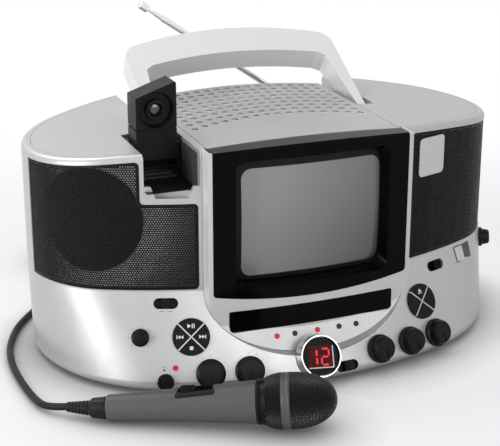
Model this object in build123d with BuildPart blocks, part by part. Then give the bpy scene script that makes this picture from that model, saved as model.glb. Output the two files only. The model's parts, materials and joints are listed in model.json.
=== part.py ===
"""Table-top karaoke player with a picture tube, a disc tray, a fold-down camera and a microphone.

Millimetres.  X runs to the right, Y to the back and Z up.  The origin is on the table,
under the middle of the body.
"""

import math
import os

from build123d import *

os.makedirs("parts", exist_ok=True)

# ---------------------------------------------------------------- driving sizes
# body: a wide oval, upright down to the belly line and flaring forward below it
body_half_width = 215.0
front_depth = 114.5
rear_depth = 121.5
front_corner = 84.0
rear_corner = 85.0
belly_half_width = 213.0
belly_depth = 154.0
belly_corner = 140.0
belly_rear_inset = 2.0
belly_top = 81.0
base_z = 3.0
crown_top = 204.5
crown_drop = 15.0
rim_round = 4.5
sole_round = 7.0
wall = 3.0
seam_y = 6.0
base_inset = 12.0
fit_gap = 0.3
slide_gap = 0.4

# loose top plates and the middle section between the two handle channels
plate_inset = 8.0
plate_thick = 3.0
plate_ledge = 5.0
middle_half_width = 86.7
channel_outer = 105.5
channel_front = -14.0
channel_floor = 172.0
middle_rear = 84.0
middle_wall = 2.5
rear_arch_y = -213.0
vent_thick = 3.6
vent_width = 5.4
vent_length = 8.4
vent_columns = 16
vent_rows = 9
vent_pitch_x = 10.3
vent_pitch_y = 12.6
vent_front = -27.0
plate_seam = 0.5
cover_front = -100.0

# shield round the tube and its gloss bezel
shield_half_width = 92.0
shield_front = -122.0
shield_bow = 700.0
shield_foot = 25.0
shield_turn = 76.0
shield_plate = 3.0
shield_back = -97.0
seat_lip = 4.0
seat_thick = 2.5
chin_top = 43.5
chin_reach = 9.0
bezel_half_width = 87.7
bezel_top = 202.0
bezel_side_foot = 79.0
bezel_foot = 71.5
bezel_round = 3.0
bezel_back = -101.0
bezel_proud = 0.6
bezel_drop = 0.2
bezel_chamfer = 2.5
recess_half_width = 70.5
recess_foot = 83.5
recess_top = 196.0
tube_half_width = 65.5
tube_half_height = 51.0
tube_centre = 138.5
tube_back = -109.5
tube_bulge = 4.0
tube_corner = 9.0
neck_radius = 11.5
neck_end = 66.0
tube_flange = 12.0
funnel_middle = -45.0
funnel_end = -10.0
yoke_radius = 27.0

# grilles and speakers
grille_foot = 82.5
grille_drop = 5.4
grille_left_edge = -95.5
grille_right_edge = 99.0
grille_side = -12.0
grille_sink = 0.7
grille_thick = 1.2
grille_lip = 2.5
grille_corner = 3.5
speaker_radius = 44.0
speaker_x = 172.0
speaker_y = -55.0
speaker_z = 140.0
speaker_turn = 40.0
magnet_radius = 27.0
magnet_thick = 13.0
basket_depth = 24.0
dust_cap_depth = 15.0

# camera and its bay in the left half
bay_left = -137.0
bay_right = -93.5
bay_back = -24.0
bay_floor = 167.5
bay_lip = 172.0
bay_wall = 2.5
bay_frame = 3.5
bay_frame_foot = 156.8
notch_top_half = 17.0
notch_low_half = 13.0
notch_foot = 162.0
notch_depth = 6.5
notch_back = -80.0
camera_width = 35.0
camera_x = -115.7
camera_front = -58.6
camera_back = -35.0
camera_seam = 210.0
camera_low_top = 237.5
camera_high_top = 249.5
camera_foot = 181.0
bracket_front = -57.0
bracket_back = -33.0
bracket_top = 197.0
camera_spigot = 6.0
dish_depth = 5.0
lens_radius = 8.1
camera_hinge_y = -42.0
camera_hinge_z = 189.0
camera_pin_radius = 2.0
lens_z = 226.5
dish_radius = 15.8

# disc drawer
door_half_width = 74.6
door_foot = 46.2
door_top = 64.2
door_proud = 0.8
door_high_round = 1.5
door_low_round = 3.5
tray_half_width = 64.0
tray_length = 132.0
tray_front = -119.5
door_thick = 3.2
deck_half = 71.0
deck_front = -91.0
deck_rear = 56.0
rail_inner = 64.6
runner_half = 66.5
runner_thick = 3.0
spindle_radius = 1.5
turntable_z = 43.5
turntable_height = 5.4
sled_half = 17.0
sled_rod = 13.0
sled_z = 41.0
sled_length = 22.0
sled_start = 27.0
sled_travel = 32.0
rod_start = 15.0
rod_end = sled_start + sled_length / 2 + sled_travel + 1.5
tray_floor = 50.0
tray_thick = 7.0
disc_radius = 61.0
tray_travel = 118.0
turntable_radius = 15.0

# floor pan and what stands on it
pan_lip = 1.2
pan_overlap = 2.2
foot_x = 140.0
foot_front = -66.0
foot_rear = 70.0
foot_radius = 9.0
deck_z = 36.0
post_x = 62.0
post_front = -82.0
post_rear = 48.0
post_radius = 4.0
board_half = 55.0
board_front = 0.0
board_rear = 92.0
board_z = 16.0
transformer_x = 132.0
transformer_y = 40.0

# controls: places are (x, z) on the belly
knob_radius = 12.3
knob_height = 10.5
stem_radius = 3.0
stem_gap = 0.05
knob_lift = 0.5
side_knob_place = (-40.0, 68.0)
knob_places = {
    "volume_knob": (-96.5, 18.5),
    "balance_knob": (-64.8, 19.0),
    "echo_knob": (53.7, 20.0),
    "mic_knob_1": (86.0, 19.5),
    "mic_knob_2": (116.0, 18.8),
}
small_knob_radius = 7.4
contrast_place = (-146.8, 46.0)
power_place = (-132.5, 12.5)
power_radius = 6.8
power_proud = 3.0
power_travel = 2.0
key_proud = 1.8
pad_radius = 15.4
pad_gap = 1.3
key_gap = 0.25
pad_places = {"left": (-107.5, 46.5), "right": (105.5, 46.5)}
slot_length = 20.5
slot_width = 9.0
slide_travel = 4.5
slide_places = {"monitor_switch": (-123.5, 72.0), "radio_switch": (129.0, 70.5)}
output_switch_place = (20.5, 13.0)
slide_lever = 6.4
apron_depth = 3.9
apron_thick = 1.5
apron_gap = 1.2
apron_overlap = 1.0
side_knob_radius = 9.0
display_place = (-5.0, 23.5)
display_radius = 19.6
display_height = 8.0
display_sink = 1.5
window_radius = 16.3
window_z = 2.4
led_radius = 2.3
led_places = (-34.5, -18.1, 2.7, 22.8, 38.9)
led_row = 39.0
power_led_place = (-123.4, 23.3)

# handle
handle_pivot_y = 0.8
handle_pivot_z = 187.0
handle_tilt = 29.6
handle_half_width = 101.7
handle_thick = 22.0
handle_shoulder = 101.5
handle_crest = 120.0
hub_radius = 10.0
hub_inner = 87.5
hub_outer = 104.5
grip_foot = 94.4
grip_waist = 87.2
grip_waist_s = 73.0
grip_corner_x = 80.4
grip_corner_s = 78.0
grip_crest = 87.5
trunnion_radius = 4.0
trunnion_gap = 0.05

# telescopic antenna
antenna_x = 96.0
antenna_y = 128.0
antenna_z = 163.5
antenna_lean = 55.5
boss_radius = 9.0
boss_end = 118.0
fork_gap = 0.3
knuckle_radius = 4.2
knuckle_half = 2.8
lug_thick = 1.8
cap_length = 9.0
mast_tail = 17.5
mast_length = 178.0
mast_radii = (3.0, 2.25, 1.55)
mast_bore_gap = 0.06
mast_wall = 0.64
mast_out = 9.0
mast_step = 8.0

# microphone and its cable
mic_tail = (-189.0, -146.0, 11.0)
mic_head_end = (-24.0, -225.0, 26.2)
mic_tail_radius = 10.7
mic_neck = 120.0
mic_neck_radius = 17.2
mic_head_radius = 22.3
mic_collar = 7.0
mic_middle_radius = 13.3
mic_band_start = 140.0
mic_band_end = 147.0
relief_length = 34.0
relief_end = (-217.5, -127.7, 8.5)
switch_start = 58.0
switch_end = 86.0
switch_width = 10.0
switch_travel = 9.0
switch_seat = 11.2
cable_radius = 3.0
jack_x = -118.0
jack_z = 26.0
panel_width = 66.0
panel_height = 28.0
panel_thick = 2.0
panel_depth = 2.2
plug_tip = 3.15
inlet_x = 19.5
socket_places = [(-26.0, 6.5), (-26.0, -6.5), (-15.0, 6.5), (-15.0, -6.5)]
plug_radius = 7.0
plug_length = 26.0
coil_x = -115.0
coil_y = 212.0
coil_radius = 33.0
coil_wide = 24.0
cord_points_a = [
    relief_end,
    (-227.0, -121.5, 7.0),
    (-233.5, -111.0, 5.0),
    (-236.0, -97.0, 3.6),
    (-238.5, -76.0, 3.1),
    (-240.0, -50.0, 3.05),
    (-240.0, -22.0, 3.1),
    (-236.0, 8.5, 3.05),
    (-228.0, 33.0, 3.1),
    (-218.0, 56.0, 3.05),
    (-204.0, 77.0, 3.1),
    (-189.0, 96.0, 3.05),
    (-174.0, 117.0, 3.1),
    (-161.0, 140.0, 3.4),
    (-152.5, 164.0, 5.0),
    (-148.6, 188.0, 7.0),
    (-148.0, 203.0, 8.0),
]
cord_points_b = [
    (-134.6, 142.4, 24.8),
    (-135.0, 155.0, 19.0),
    (-130.0, 168.0, 13.5),
    (-119.0, 176.5, 10.0),
    (-104.0, 180.5, 9.0),
]
coil_height = 18.0

far = 400.0
crown_radius = (body_half_width**2 + crown_drop**2) / (2 * crown_drop)


def save(piece, name):
    """Label a finished piece and write it as its own STEP file."""
    piece.part.label = name
    export_step(piece.part, f"parts/{name}.step")


def crown_z(x, below=0.0):
    """Height of the crowned top at a distance x from the middle."""
    return crown_top - crown_radius + math.sqrt((crown_radius - below) ** 2 - x**2)


# ---------------------------------------------------------------- shared outlines
def half_oval(half_width, depth, corner, side):
    """Three tangent arcs from the left end to the right; side is -1 in front and 1 behind."""
    main = ((half_width - corner) ** 2 + depth**2 - corner**2) / (2 * (depth - corner))
    join_x = (half_width - corner) * main / (main - corner)
    join_y = side * (math.sqrt(main**2 - join_x**2) - (main - depth))
    left = TangentArc((-half_width, 0), (-join_x, join_y), tangent=(0, side))
    middle = TangentArc(left @ 1, (join_x, join_y), tangent=left % 1)
    TangentArc(middle @ 1, (half_width, 0), tangent=middle % 1)


def body_outline(inset):
    """Plan of the upper body, drawn in by inset."""
    with BuildSketch() as outline:
        with BuildLine():
            half_oval(body_half_width - inset, front_depth - inset, front_corner - inset, -1)
            half_oval(body_half_width - inset, rear_depth - inset, rear_corner - inset, 1)
        make_face()
    return outline.sketch


def belly_outline(inset):
    """Plan of the body where it meets its base, drawn in by inset."""
    rear = belly_rear_inset + inset
    with BuildSketch() as outline:
        with BuildLine():
            half_oval(belly_half_width - inset, belly_depth - inset, belly_corner - inset, -1)
            half_oval(belly_half_width - inset, rear_depth - rear, rear_corner - rear, 1)
        make_face()
    return outline.sketch


def crown_face(below, foot):
    """Front view of everything under the crowned top lowered by a distance."""
    reach = body_half_width + 10
    side_z = crown_z(reach, below)
    with BuildSketch() as outline:
        with BuildLine():
            arc = ThreePointArc((-reach, side_z), (0, crown_z(0, below)), (reach, side_z))
            Polyline(arc @ 1, (reach, foot), (-reach, foot), arc @ 0)
        make_face()
    return outline.sketch


def body_solid(inset, floor_z, below, top_round, bottom_round):
    """The oval body drawn in by inset, from floor_z up to the crown lowered by below."""
    with BuildPart() as solid:
        with BuildSketch(Plane.XY.offset(floor_z)):
            add(belly_outline(inset))
        with BuildSketch(Plane.XY.offset(belly_top)):
            add(body_outline(inset))
        loft(ruled=True)
        fillet(solid.faces().sort_by(Axis.Z)[0].edges(), bottom_round)
        with BuildSketch(Plane.XY.offset(belly_top)):
            add(body_outline(inset))
        extrude(amount=crown_top - belly_top)
        with BuildSketch(Plane.XZ):
            add(crown_face(below, floor_z - 1))
        extrude(amount=far, both=True, mode=Mode.INTERSECT)
        if top_round:
            fillet(solid.faces().sort_by(Axis.Z)[-1].edges(), top_round)
    return solid.part


def shield_outline(grow):
    """Front view of the shield: upright sides that turn into a wide bottom arc."""
    half = shield_half_width + grow
    drop = shield_turn - shield_foot + grow
    with BuildSketch() as outline:
        with BuildLine():
            arc = EllipticalCenterArc((0, shield_turn), half, drop, 180, arc_size=180)
            Polyline(arc @ 1, (half, crown_top + 20), (-half, crown_top + 20), arc @ 0)
        make_face()
    return outline.sketch


def bow_block(inset):
    """Everything behind the shield's bowed face drawn back by inset."""
    radius = shield_bow - inset
    half = shield_half_width + 20
    middle_y = shield_front + inset
    side_y = shield_front + shield_bow - math.sqrt(radius**2 - half**2)
    with BuildPart() as block:
        with BuildSketch():
            with BuildLine():
                arc = ThreePointArc((-half, side_y), (0, middle_y), (half, side_y))
                Polyline(arc @ 1, (half, rear_depth), (-half, rear_depth), arc @ 0)
            make_face()
        extrude(amount=crown_top + 30)
    return block.part


envelope = body_solid(0, base_z, 0, rim_round, sole_round)
cavity = body_solid(wall, base_z + wall, plate_thick + wall, 0, sole_round - wall)


def oval_block(inset):
    """Upright oval of the upper body drawn in by inset, taller than the body."""
    with BuildPart() as block:
        with BuildSketch():
            add(body_outline(inset))
        extrude(amount=crown_top + 40)
    return block.part


def box_between(x_low, x_high, y_low, y_high, z_low, z_high):
    """Plain block between two corners, for cutting and trimming."""
    size = (x_high - x_low, y_high - y_low, z_high - z_low)
    middle = ((x_high + x_low) / 2, (y_high + y_low) / 2, (z_high + z_low) / 2)
    return Pos(*middle) * Box(*size, mode=Mode.PRIVATE)


def panel_plane(x, z, rear=False):
    """Plane on the body's skin straight ahead of (x, z), or behind it, facing outwards."""
    hits = envelope.find_intersection_points(Axis((x, -far, z), (0, 1, 0)))
    point, normal = hits[-1 if rear else 0]
    across = Vector(-normal.Y, normal.X, 0) if normal.Y else Vector(1, 0, 0)
    return Plane(origin=point, x_dir=across, z_dir=normal)


def side_panel_plane(y, z):
    """Plane on the right flank of the body's skin at (y, z), facing outwards."""
    point, normal = envelope.find_intersection_points(Axis((far, y, z), (-1, 0, 0)))[0]
    return Plane(origin=point, x_dir=Vector(-normal.Y, normal.X, 0), z_dir=normal)


def side_view(plane):
    """Plane that holds the given plane's normal, with X along its X and Y along its normal."""
    return Plane(origin=plane.origin, x_dir=plane.x_dir, z_dir=plane.x_dir.cross(plane.z_dir))


def chin_plane(x, z):
    """Plane on the shield's sloping chin at (x, z), facing outwards."""
    slope = chin_reach / (chin_top - shield_foot)
    y = shield_front - slope * (chin_top - z)
    return Plane(origin=(x, y, z), x_dir=(1, 0, 0), z_dir=(0, -1, slope))


def key_outline(turn, gap):
    """One of four quarter-round keys, the one that points along turn degrees."""
    reach = pad_radius - gap
    inner = (pad_gap / 2 + gap) * math.sqrt(2)
    start = math.degrees(math.asin(inner / math.sqrt(2) / reach))
    with BuildSketch() as outline:
        with BuildLine():
            arc = CenterArc((0, 0), reach, turn - 45 + start, 90 - 2 * start)
            tip = (inner * math.cos(math.radians(turn)), inner * math.sin(math.radians(turn)))
            Polyline(arc @ 1, tip, arc @ 0)
        make_face()
    return outline.sketch


def grille_outline(side, shrink):
    """Front view of one grille: under the crown, above the belly and round the camera bay."""
    edge = (grille_left_edge if side < 0 else grille_right_edge) + side * shrink
    with BuildSketch() as outline:
        add(crown_face(grille_drop + shrink, grille_foot + shrink))
        with Locations((edge + side * far / 2, 0)):
            Rectangle(far, 2 * far, mode=Mode.INTERSECT)
        if side < 0:
            frame_left = bay_left - bay_frame - shrink
            with Locations((frame_left + far / 2, bay_frame_foot - shrink + far / 2)):
                Rectangle(far, far, mode=Mode.SUBTRACT)
        corners = [v for v in outline.vertices() if abs(v.X) < body_half_width - 10]
        inner = [v for v in corners if v.Y > grille_foot + 5 and v.Y < bay_frame_foot + 5]
        inner = [v for v in inner if v.X < bay_left]
        fillet([v for v in corners if v not in inner], grille_corner - shrink)
        if inner:
            fillet(outline.vertices().sort_by_distance(inner[0])[0], grille_corner + shrink)
    return outline.sketch


def plate_outline(side, shrink):
    """Plan of one top plate, with the channel and the camera bay left free."""
    inner = side * (middle_half_width + plate_seam + shrink)
    with BuildSketch() as outline:
        add(body_outline(plate_inset + shrink))
        with Locations((inner + side * far / 2, 0)):
            Rectangle(far, 2 * far, mode=Mode.INTERSECT)
        channel_y = channel_front - shrink
        with Locations((side * (channel_outer + shrink - far / 2), channel_y + far / 2)):
            Rectangle(far, far, mode=Mode.SUBTRACT)
        if side < 0:
            width = bay_right - bay_left + 2 * shrink
            with Locations(((bay_left + bay_right) / 2, bay_back + shrink - far / 2)):
                Rectangle(width, far, mode=Mode.SUBTRACT)
    return outline.sketch


def slot_outline(length, width):
    """Round-ended slot along the local X axis."""
    with BuildSketch() as outline:
        SlotOverall(length, width)
    return outline.sketch


def speaker_plane(side):
    """Plane of a speaker's front, facing out through its grille."""
    turn = math.radians(speaker_turn)
    facing = (side * math.sin(turn), -math.cos(turn), 0)
    along = (math.cos(turn), side * math.sin(turn), 0)
    return Plane(origin=(side * speaker_x, speaker_y, speaker_z), x_dir=along, z_dir=facing)


def bezel_outline(grow):
    """Front view of the gloss bezel: upright sides and a shallow smile below."""
    half = bezel_half_width + grow
    with BuildSketch() as outline:
        with BuildLine():
            arc = ThreePointArc(
                (-half, bezel_side_foot - grow), (0, bezel_foot - grow), (half, bezel_side_foot - grow)
            )
            Polyline(arc @ 1, (half, crown_top + 20), (-half, crown_top + 20), arc @ 0)
        make_face()
        fillet([arc_end for arc_end in outline.vertices() if arc_end.Y < crown_top], bezel_round)
    return outline.sketch


def door_outline(grow):
    """Front view of the drawer's door, rounder at its lower corners."""
    height = door_top - door_foot + 2 * grow
    with BuildSketch() as outline:
        with Locations((0, (door_top + door_foot) / 2)):
            Rectangle(2 * (door_half_width + grow), height)
        low = outline.vertices().group_by(Axis.Y)[0]
        fillet(low, door_low_round + grow)
        high = outline.vertices().group_by(Axis.Y)[-1]
        fillet(high, door_high_round + grow)
    return outline.sketch


def middle_outline(shrink, front_y):
    """Plan of the middle section: straight sides and an arched rear edge."""
    half = middle_half_width - shrink
    radius = middle_rear - rear_arch_y - shrink
    with BuildSketch() as outline:
        with Locations((0, rear_arch_y)):
            Circle(radius)
        with Locations((0, front_y + far / 2)):
            Rectangle(2 * half, far, mode=Mode.INTERSECT)
    return outline.sketch


def shield_block(inset):
    """Everything behind the shield's bowed face and its sloping chin, drawn back by inset."""
    slope = chin_reach / (chin_top - shield_foot)
    lift = inset * math.sqrt(1 + slope**2)
    top_y = shield_front + lift
    rise = 12.0
    with BuildPart() as block:
        add(bow_block(inset))
        with BuildSketch(Plane.YZ):
            with BuildLine():
                Polyline(
                    (top_y + slope * rise, chin_top + rise),
                    (top_y - slope * (chin_top - base_z), base_z),
                    (0, base_z),
                    (0, chin_top + rise),
                    (top_y + slope * rise, chin_top + rise),
                )
            make_face()
        extrude(amount=shield_half_width + 15, both=True)
    return block.part


# ---------------------------------------------------------------- body shells
belly_places = {**knob_places, "contrast_knob": contrast_place}
slot_places = {**slide_places, "output_switch": output_switch_place}
channel_wall = channel_outer + middle_wall
bay_x = (bay_left + bay_right) / 2
shield_plane = Plane.XZ.offset(-shield_back)
side_plane = side_panel_plane(*side_knob_place)

with BuildPart() as trough:
    add(box_between(-channel_wall, channel_wall, channel_front - middle_wall, far,
                    channel_floor - wall, crown_top + 1))
    add(envelope, mode=Mode.INTERSECT)

with BuildPart() as middle_seat:
    add(box_between(-channel_wall, channel_wall, shield_back, channel_front,
                    channel_floor - wall, crown_top + 1))
    add(envelope, mode=Mode.INTERSECT)
    add(cavity, mode=Mode.SUBTRACT)
    add(trough.part, mode=Mode.SUBTRACT)

with BuildPart() as bay_block:
    add(box_between(bay_left - bay_wall, bay_right + bay_wall, -far, bay_back + bay_wall,
                    bay_floor - bay_wall, crown_top + 1))
    add(box_between(bay_left, bay_right, -far, notch_back, notch_foot - bay_wall, bay_floor))
    add(envelope, mode=Mode.INTERSECT)

with BuildPart() as bay_space:
    add(box_between(bay_left, bay_right, -far, bay_back, bay_floor, bay_lip))
    add(cavity, mode=Mode.INTERSECT)
    add(box_between(bay_left, bay_right, -far, bay_back, bay_lip, crown_top + 1))

with BuildPart() as notch:
    with BuildSketch(Plane.XZ):
        with BuildLine():
            Polyline(
                (bay_x - notch_top_half, bay_lip + 1),
                (bay_x + notch_top_half, bay_lip + 1),
                (bay_x + notch_low_half, notch_foot),
                (bay_x - notch_low_half, notch_foot),
                (bay_x - notch_top_half, bay_lip + 1),
            )
        make_face()
    extrude(amount=far)
    add(oval_block(notch_depth), mode=Mode.SUBTRACT)

with BuildPart() as collar:
    with BuildSketch(shield_plane):
        add(shield_outline(wall))
    extrude(amount=far)
    with BuildSketch(shield_plane):
        add(shield_outline(wall))
        add(shield_outline(-seat_lip), mode=Mode.SUBTRACT)
    extrude(amount=-seat_thick)
    add(envelope, mode=Mode.INTERSECT)

with BuildPart() as baffles:
    for side in (-1, 1):
        with BuildSketch(speaker_plane(side).offset(fit_gap)):
            Rectangle(2 * speaker_radius + 6, 2 * speaker_radius + 6)
            Circle(speaker_radius - 3, mode=Mode.SUBTRACT)
        extrude(amount=wall)
    add(oval_block(grille_sink + grille_thick + fit_gap), mode=Mode.INTERSECT)

with BuildPart() as grille_seats:
    for side in (-1, 1):
        with BuildSketch(Plane.XZ.offset(-grille_side)):
            add(grille_outline(side, -fit_gap))
        extrude(amount=far)
    add(oval_block(grille_sink + grille_thick + fit_gap), mode=Mode.SUBTRACT)

with BuildPart() as grille_openings:
    for side in (-1, 1):
        with BuildSketch(Plane.XZ.offset(grille_lip - grille_side)):
            add(grille_outline(side, grille_lip))
        extrude(amount=far)
    add(oval_block(grille_sink + wall + 3), mode=Mode.SUBTRACT)

with BuildPart() as plate_seats:
    for side in (-1, 1):
        with BuildSketch(Plane.XY.offset(crown_top - 40)):
            add(plate_outline(side, -fit_gap))
        extrude(amount=60)
    with BuildSketch(Plane.XZ):
        add(crown_face(plate_thick + 0.1, 0))
    extrude(amount=far, both=True, mode=Mode.SUBTRACT)

with BuildPart() as belly_cuts:
    for place in belly_places.values():
        radius = stem_radius + stem_gap
        with BuildSketch(panel_plane(*place).offset(wall)):
            Circle(radius)
        extrude(amount=-3 * wall)
    with BuildSketch(panel_plane(*power_place).offset(wall)):
        Circle(power_radius + key_gap)
    extrude(amount=-3 * wall)
    with BuildSketch(panel_plane(*power_led_place).offset(wall)):
        Circle(led_radius + 0.05)
    extrude(amount=-3 * wall)
    for place in pad_places.values():
        for turn in (0, 90, 180, 270):
            with BuildSketch(panel_plane(*place).offset(wall)):
                add(key_outline(turn, -key_gap))
            extrude(amount=-3 * wall)
    for place in slot_places.values():
        with BuildSketch(panel_plane(*place).offset(wall)):
            add(slot_outline(slot_length, slot_width))
        extrude(amount=-3 * wall)
    with BuildSketch(panel_plane(*display_place).offset(wall)):
        Circle(display_radius + fit_gap)
    extrude(amount=-wall - display_sink)
    with BuildSketch(panel_plane(*display_place)):
        Circle(display_radius - 4)
    extrude(amount=-3 * wall)
    with BuildSketch(side_plane.offset(wall)):
        Circle(stem_radius + stem_gap)
    extrude(amount=-3 * wall)

with BuildPart() as hull:
    add(envelope)
    add(cavity, mode=Mode.SUBTRACT)
    add(trough.part)
    add(middle_seat.part)
    add(bay_block.part)
    add(collar.part)
    # pocket for the shield, then the seat and the opening under the middle cover
    with BuildSketch(shield_plane):
        add(shield_outline(fit_gap))
    extrude(amount=far, mode=Mode.SUBTRACT)
    with BuildSketch(Plane.XY.offset(crown_z(middle_half_width) - vent_thick - fit_gap)):
        add(middle_outline(-fit_gap, shield_back - 10))
    extrude(amount=far, mode=Mode.SUBTRACT)
    with BuildSketch(Plane.XY.offset(channel_floor - wall - 1)):
        add(middle_outline(plate_ledge, shield_back - 10))
    extrude(amount=far, mode=Mode.SUBTRACT)
    # channels for the handle, open at the back, and the holes for its trunnions
    add(box_between(-channel_outer, channel_outer, channel_front, far, channel_floor,
                    crown_top + 1), mode=Mode.SUBTRACT)
    with BuildSketch(Plane.YZ):
        with Locations((handle_pivot_y, handle_pivot_z)):
            Circle(trunnion_radius + trunnion_gap)
    extrude(amount=channel_wall + 1, both=True, mode=Mode.SUBTRACT)
    # camera bay with its finger notch, the grilles and the top plates
    add(bay_space.part, mode=Mode.SUBTRACT)
    add(notch.part, mode=Mode.SUBTRACT)
    add(grille_openings.part, mode=Mode.SUBTRACT)
    add(grille_seats.part, mode=Mode.SUBTRACT)
    add(baffles.part)
    add(plate_seats.part, mode=Mode.SUBTRACT)
    add(belly_cuts.part, mode=Mode.SUBTRACT)
    # floor opening for the base plate
    with BuildSketch():
        add(belly_outline(base_inset))
    extrude(amount=base_z + wall + 1, mode=Mode.SUBTRACT)

with BuildPart() as front_shell:
    add(hull.part)
    split(bisect_by=Plane.XZ.offset(-seam_y), keep=Keep.TOP)
save(front_shell, "front_shell")

jack_plane = panel_plane(jack_x, jack_z, rear=True)
with BuildPart() as antenna_boss:
    with BuildSketch(Plane.XZ.offset(-boss_end)):
        with Locations((antenna_x, antenna_z)):
            Circle(boss_radius)
    extrude(amount=boss_end - rear_depth + 40)
    add(cavity, mode=Mode.SUBTRACT)

with BuildPart() as rear_cover:
    add(hull.part)
    split(bisect_by=Plane.XZ.offset(-seam_y), keep=Keep.BOTTOM)
    add(antenna_boss.part)
    with BuildSketch(Plane.XZ.offset(-boss_end)):
        with Locations((antenna_x, antenna_z)):
            Circle(stem_radius + stem_gap)
    extrude(amount=14, mode=Mode.SUBTRACT)
    # recessed seat of the socket panel
    with BuildSketch(jack_plane.offset(-panel_depth)):
        Rectangle(panel_width + 10, panel_height + 6)
    extrude(amount=-6)
    with BuildSketch(jack_plane.offset(wall)):
        Rectangle(panel_width + 2 * fit_gap, panel_height + 2 * fit_gap)
    extrude(amount=-wall - panel_depth - panel_thick, mode=Mode.SUBTRACT)
    with BuildSketch(jack_plane):
        Rectangle(panel_width - 6, panel_height - 6)
    extrude(amount=-20, mode=Mode.SUBTRACT)
save(rear_cover, "rear_cover")

# ---------------------------------------------------------------- floor and inner pieces
post_places = [(x, y) for x in (-post_x, post_x) for y in (post_front, post_rear)]
pan_top = base_z + wall + pan_lip
board_places = [(x, y) for x in (-board_half + 5, board_half - 5) for y in (board_front + 5, board_rear - 5)]

with BuildPart() as base_plate:
    with BuildSketch(Plane.XY.offset(base_z)):
        add(belly_outline(base_inset + fit_gap))
    extrude(amount=wall)
    with BuildSketch(Plane.XY.offset(base_z + wall)):
        add(belly_outline(base_inset - pan_overlap))
    extrude(amount=pan_lip)
    with BuildSketch(Plane.XY.offset(pan_top)):
        with Locations(*post_places):
            Circle(post_radius)
    extrude(amount=deck_z - pan_top)
    with BuildSketch(Plane.XY.offset(pan_top)):
        with Locations(*board_places):
            Circle(3)
    extrude(amount=board_z - pan_top)
    with BuildSketch(Plane.XY.offset(base_z)):
        with Locations((-130, 20), (130, -45)):
            with GridLocations(9, 0, 8, 1):
                SlotOverall(40, 3.2, rotation=90)
    extrude(amount=wall + pan_lip, mode=Mode.SUBTRACT)
save(base_plate, "base_plate")

with BuildPart() as feet:
    with BuildSketch():
        with Locations((-foot_x, foot_front), (foot_x, foot_front), (-foot_x, foot_rear), (foot_x, foot_rear)):
            Circle(foot_radius)
    extrude(amount=base_z)
    chamfer(feet.edges().group_by(Axis.Z)[0], 0.8)
save(feet, "feet")

with BuildPart() as main_board:
    with BuildSketch(Plane.XY.offset(board_z)):
        with Locations((0, (board_front + board_rear) / 2)):
            Rectangle(2 * board_half, board_rear - board_front)
    extrude(amount=1.6)
    with BuildSketch(Plane.XY.offset(board_z + 1.6)):
        with Locations((-25, 40), (8, 28)):
            Rectangle(18, 18)
        with Locations((35, 60)):
            Rectangle(12, 30)
    extrude(amount=2.4)
    with BuildSketch(Plane.XY.offset(board_z + 1.6)):
        with Locations((-38, 72), (-22, 76), (-6, 76), (12, 58)):
            Circle(5)
    extrude(amount=12)
    with BuildSketch(Plane.XY.offset(board_z + 1.6)):
        with Locations((30, 12)):
            with GridLocations(5, 0, 7, 1):
                Rectangle(1.6, 16)
            Rectangle(34, 1.6)
    extrude(amount=12)
save(main_board, "main_board")

with BuildPart() as mains_transformer:
    with BuildSketch(Plane.XY.offset(pan_top)):
        with Locations((transformer_x, transformer_y)):
            Rectangle(62, 46)
    extrude(amount=38)
    with BuildSketch(Plane.XY.offset(pan_top)):
        with Locations((transformer_x, transformer_y)):
            Rectangle(40, 66)
    extrude(amount=32)
    fillet(mains_transformer.edges().filter_by(Axis.Z), 1.5)
save(mains_transformer, "mains_transformer")

# ---------------------------------------------------------------- top plates and middle cover
for side, name in ((-1, "left_top_plate"), (1, "right_top_plate")):
    with BuildPart() as plate:
        with BuildSketch(Plane.XY.offset(crown_top - 40)):
            add(plate_outline(side, 0))
        extrude(amount=60)
        with BuildSketch(Plane.XZ):
            add(crown_face(0, 0))
        extrude(amount=far, both=True, mode=Mode.INTERSECT)
        with BuildSketch(Plane.XZ):
            add(crown_face(plate_thick, 0))
        extrude(amount=far, both=True, mode=Mode.SUBTRACT)
    save(plate, name)

with BuildPart() as centre_top_cover:
    with BuildSketch(Plane.XY.offset(channel_floor)):
        add(middle_outline(0, cover_front))
    extrude(amount=60)
    with BuildSketch(Plane.XZ):
        add(crown_face(0, 0))
    extrude(amount=far, both=True, mode=Mode.INTERSECT)
    # hollow under the vents, closed by side and rear walls behind the seat
    with BuildSketch(Plane.XY.offset(channel_floor)):
        add(middle_outline(middle_wall, shield_back - 10))
    extrude(amount=crown_z(middle_half_width) - vent_thick - channel_floor, mode=Mode.SUBTRACT)
    add(box_between(-far, far, -far, channel_front + fit_gap, 0,
                    crown_z(middle_half_width) - vent_thick), mode=Mode.SUBTRACT)
    # vents in rows that follow the rear edge
    with BuildSketch(Plane.XY.offset(crown_z(middle_half_width) - vent_thick - 1)):
        for row in range(vent_rows):
            arc_radius = vent_front + row * vent_pitch_y - rear_arch_y
            for column in range(vent_columns):
                x = (column - (vent_columns - 1) / 2) * vent_pitch_x
                with Locations((x, rear_arch_y + math.sqrt(arc_radius**2 - x**2))):
                    SlotOverall(vent_length, vent_width, rotation=90)
    extrude(amount=30, mode=Mode.SUBTRACT)
    with BuildSketch(Plane.YZ):
        with Locations((handle_pivot_y, handle_pivot_z)):
            Circle(trunnion_radius + trunnion_gap)
    extrude(amount=middle_half_width + 1, both=True, mode=Mode.SUBTRACT)
save(centre_top_cover, "centre_top_cover")

# ---------------------------------------------------------------- shield, bezel and tube
with BuildPart() as shield_hollow:
    with BuildSketch(shield_plane.offset(-1)):
        add(shield_outline(-shield_plate))
    extrude(amount=far)
    add(shield_block(shield_plate), mode=Mode.INTERSECT)

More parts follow.
